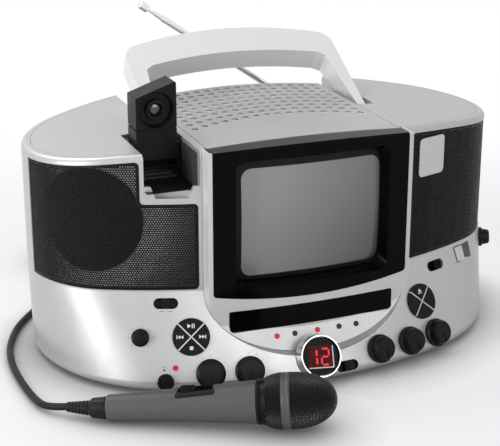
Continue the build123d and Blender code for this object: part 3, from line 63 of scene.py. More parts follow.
# grilles, their holes and the sheets behind them
GRILLE_SINK = 0.7
GRILLE_WALL = 0.9
GRILLE_FOOT = 82.5
GRILLE_DROP = 5.4
GRILLE_LEFT_EDGE = -95.5
GRILLE_RIGHT_EDGE = 99.0
GRILLE_END_Y = -12.0
BAY_FRAME_LEFT = -140.5
BAY_FRAME_FOOT = 156.8
GRILLE_CORNER = 3.5
HOLE_PITCH = 2.15
HOLE_RADIUS = 0.8
HOLE_SIDES = 6
GRILLE_RIM = 1.9
BACKING_DEPTH = 1.05
BACKING_MARGIN = 1.5
BACKING_NET = (5.0, 8.0)


# ---------------------------------------------------------------- finishes
def feed(tree, socket, value):
    """Sets an input to a value, or links another node's output to it."""
    if isinstance(value, bpy.types.NodeSocket):
        tree.links.new(value, socket)
    else:
        socket.default_value = value


def feed_named(tree, node, values):
    """Feeds a node's inputs by name; an underscore stands for a space."""
    for name, value in values.items():
        feed(tree, node.inputs[name.replace("_", " ")], value)


def put(tree, kind, **values):
    """One more node, with its named inputs fed."""
    node = tree.nodes.new(kind)
    feed_named(tree, node, values)
    return node


def maths(tree, operation, *values, kind="ShaderNodeMath"):
    """Value of a maths node whose inputs are fed in turn."""
    node = tree.nodes.new(kind)
    node.operation = operation
    for socket, value in zip(node.inputs, values):
        feed(tree, socket, value)
    return node.outputs["Value"]


def largest_of(tree, outputs):
    """The largest of some node outputs."""
    most = outputs[0]
    for output in outputs[1:]:
        most = maths(tree, "MAXIMUM", most, output)
    return most


def blend(tree, share, first, second):
    """Colour between two colours."""
    node = tree.nodes.new("ShaderNodeMix")
    node.data_type = "RGBA"
    for number, value in ((0, share), (6, first), (7, second)):
        feed(tree, node.inputs[number], value)
    return node.outputs[2]


def between(tree, share, first, second):
    """Shader between two shaders."""
    node = put(tree, "ShaderNodeMixShader", Fac=share)
    tree.links.new(first, node.inputs[1])
    tree.links.new(second, node.inputs[2])
    return node.outputs[0]


def own_place(tree):
    """Place on the piece in its own coordinates, in metres."""
    return put(tree, "ShaderNodeTexCoord").outputs["Object"]


def mapped(tree, value, start, end, low, high):
    """Value carried from the range start to end onto the range low to high."""
    return put(tree, "ShaderNodeMapRange", Value=value, From_Min=start, From_Max=end, To_Min=low,
               To_Max=high).outputs["Result"]


def cloud(tree, scale, detail=2.0):
    """Noise over the piece's own coordinates, with scale features to the metre."""
    return put(tree, "ShaderNodeTexNoise", Vector=own_place(tree), Scale=scale,
               Detail=detail).outputs["Fac"]


def paint(finish, **values):
    """Feeds the inputs of a finish's surface."""
    feed_named(finish.node_tree, finish.node_tree.nodes["Principled BSDF"], values)
    return finish


def new_finish(name, colour, rough, metal=0.0, **sockets):
    """A plain surface of one colour; the calls below lay its detail over it."""
    finish = bpy.data.materials.new(name)
    finish.use_nodes = True
    return paint(finish, Base_Color=(*colour, 1.0), Roughness=rough, Metallic=metal, **sockets)


def mottle(finish, dark, light, scale, detail=2.0):
    """Base colour that drifts between two tones."""
    tree = finish.node_tree
    ramp = put(tree, "ShaderNodeValToRGB", Fac=cloud(tree, scale, detail))
    for stop, position, tone in zip(ramp.color_ramp.elements, (0.32, 0.68), (dark, light)):
        stop.position = position
        stop.color = (*tone, 1.0)
    return paint(finish, Base_Color=ramp.outputs["Color"])


def toned(name, dark, light, scale, rough, metal=0.0, **sockets):
    """A surface that drifts between two tones."""
    return mottle(new_finish(name, light, rough, metal, **sockets), dark, light, scale)


def uneven_gloss(finish, low, high, scale):
    """Roughness that drifts between two values."""
    tree = finish.node_tree
    return paint(finish, Roughness=mapped(tree, cloud(tree, scale), 0.3, 0.7, low, high))


def grain(finish, scale, depth):
    """Fine relief of the surface, depth metres high."""
    tree = finish.node_tree
    bump = put(tree, "ShaderNodeBump", Strength=0.6, Distance=depth, Height=cloud(tree, scale))
    return paint(finish, Normal=bump.outputs["Normal"])


def silver_paint(name, dark, light, metal=0.5):
    """Silver paint on moulded plastic: fine bright flake, a soft sheen and faint orange peel."""
    finish = mottle(new_finish(name, light, 0.34, metal), dark, light, 1900.0, 3.0)
    return grain(uneven_gloss(finish, 0.35, 0.43, 55.0), 650.0, 0.00002)


def black_plastic(name, tone, low, high, texture, depth, shine=0.12):
    """Moulded black plastic with slightly uneven gloss and a fine grain."""
    finish = toned(name, (tone * 0.8,) * 3, (tone * 1.25, tone * 1.25, tone * 1.3), 240.0, high,
                   Specular_IOR_Level=shine)
    return grain(uneven_gloss(finish, low, high, 90.0), texture, depth)


def tube_with_painted_reflection():
    """Grey picture tube: a smooth face whose grey is painted lighter towards its upper left corner,
    a painted reflection of the light.
    """
    finish = new_finish("tube_glass", (0.15, 0.15, 0.15), 0.2, Coat_Weight=0.5, Coat_Roughness=0.06)
    tree = finish.node_tree
    place = put(tree, "ShaderNodeSeparateXYZ", Vector=own_place(tree)).outputs
    # painted reflection: the grey rises towards the left and towards the top of the face
    across = mapped(tree, place["X"], -0.065, 0.065, 0.12, -0.08)
    upward = mapped(tree, place["Z"], 0.088, 0.189, 0.13, 0.25)
    return grain(paint(finish, Base_Color=maths(tree, "ADD", across, upward)), 1600.0, 0.000004)


LIT_LAMPS = (-0.1234, -0.0345, 0.0027)
LAMP_REACH = 0.005


def lamp_lens():
    """Red lens caps: the first and third of the row and the power lamp are lit."""
    finish = new_finish("red_lamp", (0.30, 0.015, 0.015), 0.25, Specular_IOR_Level=0.15)
    tree = finish.node_tree
    x = put(tree, "ShaderNodeSeparateXYZ", Vector=own_place(tree)).outputs["X"]
    glow = largest_of(tree, [maths(tree, "COMPARE", x, lamp, LAMP_REACH) for lamp in LIT_LAMPS])
    tone = blend(tree, glow, (0.03, 0.008, 0.008, 1.0), (0.5, 0.012, 0.022, 1.0))
    return paint(finish, Base_Color=tone, Emission_Color=(1.0, 0.05, 0.06, 1.0),
                 Emission_Strength=maths(tree, "MULTIPLY", glow, 0.16))


SPEAKER_PLACE = (-0.1783, -0.0685, 0.142)
# reach and grey stops of the cloth's painted light and shade round the speaker
CLOTH_LIGHT_REACH = 0.1
CLOTH_LIGHT_AND_SHADE = ((0.44, 0.03), (0.46, 0.95), (0.6, 0.9), (0.72, 0.5), (0.9, 0.2))


def speaker_cloth_light_and_shade():
    """Cloth behind the left grille: black over the loudspeaker, with a pale band round it that
    fades to darker grey away from it; the pale band and the fade are painted light and shade."""
    finish = new_finish("speaker_cloth_light_and_shade", (0.02, 0.02, 0.02), 0.9, Specular_IOR_Level=0.1)
    tree = finish.node_tree
    reach = maths(tree, "DISTANCE", own_place(tree), SPEAKER_PLACE, kind="ShaderNodeVectorMath")
    ramp = put(tree, "ShaderNodeValToRGB", Fac=mapped(tree, reach, 0.0, CLOTH_LIGHT_REACH, 0.0, 1.0))
    stops = ramp.color_ramp.elements
    for position, grey in CLOTH_LIGHT_AND_SHADE:
        stops.new(position).color = (grey, grey, grey * 1.02, 1.0)
    stops[0].color = (0.03, 0.03, 0.03, 1.0)
    stops[-1].color = (0.15, 0.15, 0.15, 1.0)
    return grain(paint(finish, Base_Color=ramp.outputs["Color"]), 2500.0, 0.00005)


# tone, least and most roughness, grains to the metre, their height, and shine where it differs
BLACK_PLASTICS = {
    "dark_pan": (0.025, 0.45, 0.6, 900.0, 0.00008),
    "foot_rubber": (0.02, 0.6, 0.75, 1400.0, 0.00006),
    "gloss_black": (0.002, 0.08, 0.14, 300.0, 0.000004, 0.05),
    "matt_black": (0.007, 0.3, 0.42, 1200.0, 0.00003),
    "key_black": (0.007, 0.22, 0.34, 1000.0, 0.00002),
    "grille_black": (0.007, 0.3, 0.42, 1500.0, 0.00002),
    "speaker_cone": (0.03, 0.6, 0.8, 800.0, 0.0001),
    "cable_rubber": (0.014, 0.35, 0.48, 1300.0, 0.00003)}

# finishes of the slots that the nodes name
finishes = {name: black_plastic(name, *values) for name, values in BLACK_PLASTICS.items()}
finishes |= {
    "silver_shell": silver_paint("silver_shell", (0.45, 0.45, 0.46), (0.55, 0.55, 0.555)),
    "silver_cover": silver_paint("silver_cover", (0.43, 0.42, 0.43), (0.53, 0.52, 0.53)),
    "copper_yoke": toned("copper_yoke", (0.32, 0.13, 0.05), (0.55, 0.26, 0.12), 500.0, 0.35, 0.9),
    "circuit_board": toned("circuit_board", (0.02, 0.10, 0.04), (0.05, 0.2, 0.09), 180.0, 0.4),
    "transformer_iron": toned(
        "transformer_iron", (0.12, 0.12, 0.13), (0.26, 0.26, 0.28), 300.0, 0.45, 0.8),
    "antenna_chrome": uneven_gloss(
        new_finish("antenna_chrome", (0.78, 0.78, 0.8), 0.12, 1.0), 0.07, 0.16, 120.0),
    "microphone_grey": grain(toned(
        "microphone_grey", (0.085, 0.085, 0.09), (0.12, 0.12, 0.125), 1500.0, 0.4,
        Specular_IOR_Level=0.2), 900.0, 0.00001),
    "microphone_mesh": uneven_gloss(
        new_finish("microphone_mesh", (0.05, 0.05, 0.053), 0.35, 0.85), 0.28, 0.42, 600.0),
    "tube_glass": tube_with_painted_reflection(),
    "red_lamp": lamp_lens()}

# finishes of single nodes and of the pieces made here
digit_red = new_finish("digit_red", (0.5, 0.02, 0.02), 0.3, Specular_IOR_Level=0.1,
                       Emission_Color=(1.0, 0.05, 0.06, 1.0), Emission_Strength=0.6)
window_red = toned("window_red", (0.05, 0.001, 0.001), (0.09, 0.003, 0.003), 200.0, 0.2,
                   Specular_IOR_Level=0.05)
print_white = toned("print_white", (0.72, 0.72, 0.72), (0.85, 0.85, 0.85), 900.0, 0.5)
print_dark = toned("print_dark", (0.04, 0.04, 0.045), (0.08, 0.08, 0.085), 900.0, 0.5)
plate_silver = uneven_gloss(toned(
    "plate_silver", (0.6, 0.6, 0.6), (0.64, 0.64, 0.64), 700.0, 0.36, 0.3), 0.33, 0.4, 200.0)
ring_chrome = uneven_gloss(toned(
    "ring_chrome", (0.57, 0.57, 0.58), (0.63, 0.63, 0.64), 400.0, 0.16, 1.0), 0.12, 0.2, 150.0)
lens_glass = uneven_gloss(
    new_finish("lens_glass", (0.012, 0.012, 0.02), 0.04, Coat_Weight=1.0), 0.02, 0.06, 60.0)
# black of the microphone's foam, and of the sheet that is painted shade behind the right grille
black_foam_and_shade = grain(new_finish("black_foam_and_shade", (0.008, 0.008, 0.008), 0.9), 1800.0, 0.0003)
label_grey = black_plastic("label_grey", 0.12, 0.35, 0.45, 700.0, 0.00004)
# dark grey that paints shade on the camera bay's silver right wall
bay_shade_grey = black_plastic("bay_shade_grey", 0.05, 0.4, 0.55, 700.0, 0.00004)
# a paler, less metallic silver for the screen surround than for the shell: a painted highlight
surround_highlight_silver = silver_paint("surround_highlight_silver", (0.60, 0.60, 0.61), (0.70, 0.70, 0.705), 0.12)
handle_silver = silver_paint("handle_silver", (0.72, 0.72, 0.73), (0.84, 0.84, 0.845))
# pale silver of the pan under the vents and of their lips: painted light inside the vents and
# painted highlights on their front edges
vent_highlight_silver = silver_paint("vent_highlight_silver", (0.80, 0.79, 0.80), (0.90, 0.89, 0.90))
OWN_FINISH = {"display_ring": ring_chrome, "handle": handle_silver,
              "screen_surround": surround_highlight_silver}

slot_of = {row["node"]: row["material_slot"] for row in frame["record"]["subparts"]}
for node, piece in frame["nodes"].items():
    for holder in piece.material_slots:
        holder.material = OWN_FINISH.get(node, finishes[slot_of[node]])


# ---------------------------------------------------------------- making of meshes
def quads_of(rows, columns, wrap=False):
    """Quads between the neighbours in a grid of points, closed round its columns if wrapped."""
    index = np.arange(rows * columns).reshape(rows, columns)
    if wrap:
        index = np.column_stack([index, index[:, 0]])
    quads = [index[:-1, :-1], index[1:, :-1], index[1:, 1:], index[:-1, 1:]]
    return np.stack(quads, -1).reshape(-1, 4)


def unit(vector):
    """A vector scaled to a length of one."""
    return np.array(vector, float) / np.linalg.norm(vector)


def ways(angle):
    """Unit pairs (a, b) that point along angles."""
    return np.stack([np.cos(angle), np.sin(angle)], -1)


def whole_turn(steps):
    """Angles once round, evenly apart."""
    return np.linspace(0, 2 * np.pi, steps, endpoint=False)


def placed(name, data):
    """New object of the scene that shows some data."""
    thing = bpy.data.objects.new(name, data)
    bpy.context.scene.collection.objects.link(thing)
    return thing


def settle(name, points, faces, finish, body="machine", closed=True, sharp=35.0):
    """A mesh piece from points in millimetres, joined at its seams, riding on its body."""
    mesh = bpy.data.meshes.new(name)
    mesh.from_pydata((np.asarray(points).reshape(-1, 3) * MM).tolist(), [],
                     [list(face) for face in faces])
    work = bmesh.new()
    work.from_mesh(mesh)
    bmesh.ops.remove_doubles(work, verts=work.verts, dist=1e-6)
    if closed:
        bmesh.ops.recalc_face_normals(work, faces=work.faces)
    work.to_mesh(mesh)
    work.free()
    mesh.materials.append(finish)
    mesh.shade_smooth()
    mesh.set_sharp_from_angle(angle=math.radians(sharp))
    piece = placed(name, mesh)
    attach(piece, body)
    return piece


def face_away(piece, outward):
    """Turns an open sheet over if it faces against the outward direction at its faces."""
    if sum(Vector(outward(face.center)).dot(face.normal) for face in piece.data.polygons) < 0:
        piece.data.flip_normals()


def thicken(piece, thickness, offset):
    """Gives a sheet a wall, thickness millimetres thick."""
    wall = piece.modifiers.new("wall", "SOLIDIFY")
    wall.thickness = thickness * MM
    wall.offset = offset


def frame_at(origin, normal, across):
    """A working plane: its origin, its X and Y directions and its normal, all unit arrays."""
    normal = unit(normal)
    across = unit(across - normal * (across @ normal))
    return np.array(origin, float), across, np.cross(normal, across), normal


def lay(plane, flat, lift=0.0):
    """Points (a, b) of a working plane raised by lift, in the row frame."""
    origin, across, up, normal = plane
    flat = np.asarray(flat, float)
    return origin + flat[..., :1] * across + flat[..., 1:2] * up + lift * normal


def turned(name, profile, plane, finish, body="machine", steps=64):
    """A profile of (radius, height) pairs carried once round the plane's normal."""
    radius, height = np.array(profile, float).T
    flat = radius[:, None, None] * ways(whole_turn(steps))
    points = lay(plane, flat) + height[:, None, None] * plane[3]
    faces = quads_of(len(radius), steps, wrap=True)
    return settle(name, points, faces, finish, body)


def prisms(name, outlines, place, low, high, finish, body="machine"):
    """Flat shapes from closed outlines of (a, b) pairs, each raised from low to high."""
    points, faces, start = [], [], 0
    for outline in outlines:
        count = len(outline)
        points.append(place(outline, low))
        points.append(place(outline, high))
        ring = np.arange(count)
        after = np.roll(ring, -1)
        faces.append(start + ring[::-1])
        faces.append(start + count + ring)
        faces.extend(start + np.stack([ring, after, after + count, ring + count], -1))
        start += 2 * count
    return settle(name, np.concatenate(points), faces, finish, body)


def bar(start, end, width):
    """Outline of a straight bar from start to end."""
    start, end = np.array(start, float), np.array(end, float)
    side = unit([start[1] - end[1], end[0] - start[0]]) * width / 2
    return np.array([start - side, end - side, end + side, start + side])


def rounded_box(width, height, corner, centre=(0.0, 0.0), steps=7):
    """Outline of a rectangle with round corners, anticlockwise from its right side."""
    turn = np.linspace(0, np.pi / 2, steps)
    angles = np.concatenate([turn + quarter * np.pi / 2 for quarter in range(4)])
    hubs = np.array([(1, 1), (-1, 1), (-1, -1), (1, -1)], float)
    hubs = np.repeat(hubs * [width / 2 - corner, height / 2 - corner], steps, axis=0)
    return np.array(centre) + hubs + corner * ways(angles)


def plate(name, place, centre, size, corner, low, high, finish, bevel=0.15, shrink=0.96,
          rings=7, closed=True):
    """Plate with round corners, laid by place on a curved face, as rings that shrink to its
    middle."""
    outline = rounded_box(*size, corner)
    share = np.concatenate([[1.0, 1.0], np.linspace(shrink, 0.0, rings)])
    lift = np.concatenate([[low, high - bevel], np.full(rings, high)])
    points = np.array([place(part * outline + centre, rise) for part, rise in zip(share, lift)])
    return settle(name, points, quads_of(len(points), len(outline), wrap=True), finish,
                  closed=closed)


# ---------------------------------------------------------------- body surfaces
def oval_front(half_width, depth, corner, steps=160):
    """Front half of an oval from left to right: a corner arc, the long main arc and a corner
    arc, tangent to each other.  Gives points, outward normals and running length."""
    main = ((half_width - corner) ** 2 + depth**2 - corner**2) / (2 * (depth - corner))
    hub = half_width - corner
    turn = math.atan2(main - depth, hub)
    angle = np.concatenate([
        np.linspace(0, turn, steps), np.linspace(turn, np.pi - turn, 2 * steps),
        np.linspace(np.pi - turn, np.pi, steps)])
    hubs = np.array([(-hub, 0.0), (0.0, main - depth), (hub, 0.0)])
    counts = (steps, 2 * steps, steps)
    normal = -ways(angle)
    radius = np.repeat((corner, main, corner), counts)
    points = np.repeat(hubs, counts, axis=0) + radius[:, None] * normal
    step = np.linalg.norm(np.diff(points, axis=0), axis=1)
    run = np.concatenate([[0.0], np.cumsum(step)])
    return points, normal, run


upper_points = oval_front(*UPPER_OVAL)[0]
lower_points = oval_front(*LOWER_OVAL)[0]


def belly_y(x, z):
    """Depth of the flared belly at (x, z): straight lines run from the lower oval up to the
    upper one, and the line through x is found along the section at height z."""
    x, z = np.atleast_1d(x).astype(float), np.atleast_1d(z).astype(float)
    share = np.clip((z - BASE_Z) / (BELLY_TOP - BASE_Z), 0, 1)[:, None]
    across = (1 - share) * lower_points[:, 0] + share * upper_points[:, 0]
    depth = (1 - share) * lower_points[:, 1] + share * upper_points[:, 1]
    after = np.clip((across < x[:, None]).sum(1), 1, across.shape[1] - 1)
    rows = np.arange(len(x))
    left, right = across[rows, after - 1], across[rows, after]
    part = (x - left) / np.maximum(right - left, 1e-9)
    return depth[rows, after - 1] * (1 - part) + depth[rows, after] * part


def belly_plane(x, z):
    """Working plane that touches the belly straight ahead of (x, z)."""
    step = 0.5
    y = belly_y([x, x - step, x + step, x, x], [z, z, z, z - step, z + step])
    normal = np.array([(y[2] - y[1]) / (2 * step), -1.0, (y[4] - y[3]) / (2 * step)])
    return frame_at((x, y[0], z), normal, (-normal[1], normal[0], 0.0))


def on_belly(plane):
    """Places (a, b) of a plane on the belly's own curve, raised by lift."""
    def place(flat, lift):
        points = lay(plane, flat)
        points[:, 1] = belly_y(points[:, 0], points[:, 2])
        return points + lift * plane[3]
    return place


def on_plane(plane):
    """Places (a, b) on a flat face, raised by lift."""
    def place(flat, lift):
        return lay(plane, flat, lift)
    return place


def crown_z(x, below):
    """Height of the crowned top at x, lowered by below."""
    return CROWN_TOP - CROWN_RADIUS + np.sqrt((CROWN_RADIUS - below) ** 2 - x**2)


# ---------------------------------------------------------------- perforated grilles
sheet_points, sheet_normals, sheet_run = oval_front(*(
    size - GRILLE_SINK for size in UPPER_OVAL))
sheet_run = sheet_run - sheet_run[-1] / 2


def wrapped(flat, lift):
    """Points (s, z) of a grille's flat sheet bent round the oval, lifted outwards."""
    flat = np.asarray(flat, float)
    x, y, out_x, out_y = (np.interp(flat[:, 0], sheet_run, column)
                          for column in (*sheet_points.T, *sheet_normals.T))
    return np.stack([x + lift * out_x, y + lift * out_y, flat[:, 1]], -1)


def run_at_x(x):
    """Distance along the sheet, from the middle, of a place x to the right."""
    return float(np.interp(x, sheet_points[:, 0], sheet_run))


def run_at_end(side):
    """Distance along the sheet of its far end on the flank."""
    corner = UPPER_OVAL[2] - GRILLE_SINK
    return side * (sheet_run[-1] - corner * math.asin(-GRILLE_END_Y / corner))


def fine_line(start, end, spacing=2.5):
    """Points along a straight line, without its end."""
    count = max(2, int(np.hypot(*(np.array(end) - start)) / spacing) + 1)
    return np.linspace(start, end, count)[:-1]


def corner_arc(corner, before, after, radius, steps=6):
    """Round corner between two lines: the circle that touches both."""
    corner, before, after = np.array((corner, before, after), float)
    to_before, to_after = unit(before - corner), unit(after - corner)
    half = math.acos(np.clip(to_before @ to_after, -1, 1)) / 2
    reach = radius / math.tan(half)
    hub = corner + unit(to_before + to_after) * radius / math.sin(half)
    first, last = corner + to_before * reach - hub, corner + to_after * reach - hub
    turn = math.pi - 2 * half
    share = np.linspace(0, 1, steps)[:, None]
    swing = (np.sin((1 - share) * turn) * first + np.sin(share * turn) * last) / math.sin(turn)
    return hub + swing


def grille_edge(side):
    """Closed outline of a grille in its flat sheet: foot, flank end, crown line, inner edge,
    and on the left the step round the camera's bay."""
    inner = run_at_x(GRILLE_LEFT_EDGE if side < 0 else GRILLE_RIGHT_EDGE)
    outer = run_at_end(side)
    bay = run_at_x(BAY_FRAME_LEFT)

    def crown(run):
        return crown_z(np.interp(run, sheet_run, sheet_points[:, 0]), GRILLE_DROP)

    corners = [(inner, GRILLE_FOOT), (outer, GRILLE_FOOT), (outer, crown(outer))]
    if side < 0:
        corners += [(bay, crown(bay)), (bay, BAY_FRAME_FOOT), (inner, BAY_FRAME_FOOT)]
    else:
        corners += [(inner, crown(inner))]
    # the corners at the flank end are square
    arcs = [np.array([corner]) if corner[0] == outer else
            corner_arc(corner, corners[number - 1], corners[(number + 1) % len(corners)],
                       GRILLE_CORNER) for number, corner in enumerate(corners)]
    edge = np.concatenate([part for arc, following in zip(arcs, arcs[1:] + arcs[:1])
                           for part in (arc[:-1], fine_line(arc[-1], following[0]))])
    ceiling = crown(edge[:, 0])
    on_crown = (edge[:, 1] > crown(outer) - 0.05) & (edge[:, 1] > ceiling - 2.5)
    edge[on_crown, 1] = np.minimum(edge[on_crown, 1], ceiling[on_crown])
    return edge


def inside(edge, points):
    """Which points lie inside a closed outline: an odd number of its sides pass above them."""
    x0, y0 = edge[:, 0], edge[:, 1]
    x1, y1 = np.roll(x0, -1), np.roll(y0, -1)
    px, py = points[:, 0][:, None], points[:, 1][:, None]
    straddles = (x0 > px) != (x1 > px)
    height = y0 + (px - x0) * (y1 - y0) / np.where(x1 == x0, 1e-9, x1 - x0)
    return (straddles & (py < height)).sum(1) % 2 == 1


def edge_gap(edge, points):
    """Distance from each point to the nearest side of a closed outline."""
    start, run = edge, np.roll(edge, -1, axis=0) - edge
    rel = points[:, None, :] - start
    share = np.clip((rel * run).sum(-1) / np.maximum((run**2).sum(-1), 1e-9), 0, 1)
    return np.linalg.norm(rel - share[..., None] * run, axis=-1).min(1)


def sheet_out(centre):
    """Rough outward direction of the grille sheet at a place."""
    return centre[0] * 0.4, centre[1], 0.0


def well_inside(edge, across, up, gap):
    """Points of a net that lie inside a closed outline, more than gap from its sides."""
    net = np.stack([across.ravel(), up.ravel()], -1)
    net = net[inside(edge, net)]
    return net[edge_gap(edge, net) > gap]


def bent_sheet(name, side, edge, inner_points, lift, finish, hole_sides=0):
    """Sheet inside a closed outline, cut into triangles in the flat and bent round the body.
    The inner points stiffen it, or outline its holes if those have a number of sides."""
    loops = [list(range(len(edge)))[::side]]
    if hole_sides:
        loops += (len(edge) + np.arange(len(inner_points)).reshape(-1, hole_sides)).tolist()
    points = [Vector(point) for point in np.concatenate([edge, inner_points]).tolist()]
    flat, _, triangles, _, _, owners = delaunay_2d_cdt(points, [], loops, 1, 1e-5)
    sheet = [three for three, owner in zip(triangles, owners) if owner == [0]]
    bent = wrapped(np.array([tuple(point) for point in flat]), lift)
    piece = settle(name, bent, sheet, finish, closed=False)
    face_away(piece, sheet_out)
    return piece


def perforated(name, side, node):
    """Grille sheet: staggered rows of six-sided holes inside a plain rim, cut in the flat
    and bent round the oval body."""
    edge = grille_edge(side)
    low, high = edge.min(0), edge.max(0)
    rows = np.arange(low[1], high[1], HOLE_PITCH * math.sqrt(3) / 2)
    across, up = np.meshgrid(np.arange(low[0], high[0], HOLE_PITCH), rows)
    across = across + (np.arange(len(rows)) % 2)[:, None] * HOLE_PITCH / 2
    centres = well_inside(edge, across, up, GRILLE_RIM + HOLE_RADIUS)[:, None, :]
    holes = (centres + HOLE_RADIUS * ways(whole_turn(HOLE_SIDES))).reshape(-1, 2)
    piece = bent_sheet(name, side, edge, holes, 0.0, finishes["grille_black"],
                       HOLE_SIDES)
    thicken(piece, GRILLE_WALL, -1.0)
    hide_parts(node)


def grille_backing(name, side, finish):
    """Sheet behind a grille: the grille's outline filled with a net of triangles."""
    edge = grille_edge(side)
    low, high = edge.min(0), edge.max(0)
    across, up = np.meshgrid(*map(np.arange, low, high, BACKING_NET))
    net = well_inside(edge, across, up, BACKING_MARGIN)
    bent_sheet(name, side, edge, net, -BACKING_DEPTH, finish)


perforated("left_grille_sheet", -1, "left_grille")
perforated("right_grille_sheet", 1, "right_grille")
# left: cloth with painted light in a band round the speaker and painted shade beyond it
grille_backing("left_grille_cloth_painted_light", -1, speaker_cloth_light_and_shade())
# right: a black sheet that is painted shade, where the inside behind the grille lies in shade
grille_backing("right_grille_shade_sheet", 1, black_foam_and_shade)
plate("badge_plate", wrapped, (run_at_x(122.0), 172.0), (30.5, 34.5), 4.0, -0.5, 0.9,
      plate_silver, bevel=0.25, shrink=0.97, rings=9, closed=False)

# ---------------------------------------------------------------- microphone
MIC_TAIL = np.array((-189.0, -146.0, 11.0))
MIC_END = np.array((-24.0, -225.0, 26.2))
MIC_AXIS = unit(MIC_END - MIC_TAIL)
MIC_LENGTH = float(np.linalg.norm(MIC_END - MIC_TAIL))
MIC_NECK = 120.0
BAND_START = 140.0
BAND_END = 147.0
BALL_RADIUS = 22.3
SHOULDER_START = MIC_NECK + 8.0
SHOULDER_DROP = 2.9
FOAM_START = MIC_NECK + 6.5
MESH_INSET = 0.4
MESH_WIRES = 46
WIRE_SWAY = 0.22
TIP_RADIUS = 1.6
RELIEF_END = np.array((-217.5, -127.7, 8.5))
BOOT_STEPS = 32
BODY_HEIGHTS, BODY_RADII = (1.5, 60.0, 118.5), (10.7, 13.3, 17.2)
POCKET_START, POCKET_END, POCKET_WIDTH, POCKET_FLOOR = 58.0, 86.0, 10.0, 11.26
mic_plane = frame_at(MIC_TAIL, MIC_AXIS, (-MIC_AXIS[1], MIC_AXIS[0], 0.0))


def ball_radius(along):
    """Radius of the head's mesh at a distance along the microphone: a round shoulder below
    the band, and above it a dome that is a quarter of a flattened oval."""
    along = np.asarray(along, float)
    rise = np.clip((BAND_START - along) / (BAND_START - SHOULDER_START), 0, 1)
    shoulder = BALL_RADIUS - MESH_INSET - SHOULDER_DROP * rise**1.9
    part = np.clip((along - BAND_END) / (MIC_LENGTH - MESH_INSET - BAND_END), 0, 1)
    dome = (BALL_RADIUS - MESH_INSET) * (1 - part**2.35) ** 0.5
    return np.where(along < BAND_END, shoulder, dome)


def mesh_wires(name, start, end, steps, count=MESH_WIRES):
    """Wires of the head's mesh: two families that climb the ball at 45 degrees either way,
    each a four-sided rod that passes over and under the other family in turn."""
    share = np.linspace(0, 1, 400)
    along = start + (end - start) * np.sin(share * np.pi / 2)
    radius = np.maximum(ball_radius(along), MESH_INSET)
    run = np.concatenate([[0.0], np.cumsum(np.hypot(np.diff(along), np.diff(radius)))])
    turn = np.concatenate([[0.0], np.cumsum(np.diff(run) / ((radius[1:] + radius[:-1]) / 2))])
    last = np.interp(TIP_RADIUS, radius[::-1], turn[::-1])
    climb = np.linspace(0, last if radius[-1] < TIP_RADIUS else turn[-1], steps)
    height = np.interp(climb, turn, along)
    ball = np.interp(climb, turn, radius)
    thick = np.interp(ball, [0, 6, 20], [0.12, 0.26, 0.4])
    points = []
    for way in (-1, 1):
        first = whole_turn(count)[:, None]
        angle = first + way * climb
        cross = np.cos(climb[None, :] * count + (first * count / 2 if way > 0 else 0))
        out = ball + way * WIRE_SWAY * cross * np.interp(ball, [0, 12], [0.2, 1.0])
        outward, sideward = ways(angle), np.stack([-np.sin(angle), np.cos(angle)], -1)
        for corner_out, corner_side in ((1, 0), (0, 1), (-1, 0), (0, -1)):
            flat = outward * (out + corner_out * thick)[..., None]
            flat = flat + sideward * (corner_side * thick)[None, :, None]
            points.append(lay(mic_plane, flat) + height[None, :, None] * mic_plane[3])
    block = np.array(points).reshape(2, 4, count, steps, 3).transpose(0, 2, 3, 1, 4)
    wires = block.reshape(2 * count, steps, 4, 3)
    quad = quads_of(steps, 4, wrap=True)
    faces = (np.arange(2 * count)[:, None, None] * steps * 4 + quad).reshape(-1, 4)
    settle(name, wires, faces, finishes["microphone_mesh"], sharp=60.0)


foam_heights = np.concatenate([
    [FOAM_START], np.linspace(FOAM_START, BAND_START, 10),
    np.linspace(BAND_START + 0.6, BAND_END, 3),
    BAND_END + (MIC_LENGTH - 1.6 - BAND_END) * np.sin(np.linspace(0.05, 1, 22) * np.pi / 2)])
foam_radius = np.maximum(ball_radius(foam_heights + 0.9) - 1.3, 0.0)
foam_radius[[0, -1]] = 0.0
foam_profile = np.column_stack([foam_radius, foam_heights])
foam = turned("microphone_foam", foam_profile, mic_plane, black_foam_and_shade, steps=56)
mesh_wires("microphone_lower_mesh", MIC_NECK + 7.4, BAND_START + 0.8, 14)
mesh_wires("microphone_upper_mesh", BAND_END - 0.8, MIC_LENGTH - MESH_INSET, 84)

# radius of the band and distance in from either of its ends
BAND_EDGE = [(20.6, -0.2), (21.7, -0.2), (22.35, 0.5), (22.6, 1.4), (22.25, 2.2)]
band_profile = [(radius, BAND_START + rise) for radius, rise in BAND_EDGE]
band_profile += [(radius, BAND_END - rise) for radius, rise in reversed(BAND_EDGE)]
turned("microphone_band", band_profile + band_profile[:1], mic_plane,
       finishes["microphone_grey"], steps=72)

# radius of the collar and distance above the neck
COLLAR = [(0.0, 0.05), (17.4, 0.05), (18.1, 0.7), (18.2, 2.2), (17.6, 2.7), (17.6, 3.3),
          (18.2, 3.8), (18.5, 6.2), (19.0, 7.6), (18.2, 8.2), (0.0, 8.2)]
turned("microphone_collar", [(radius, MIC_NECK + rise) for radius, rise in COLLAR], mic_plane,
       finishes["matt_black"], steps=72)
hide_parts("microphone_head")


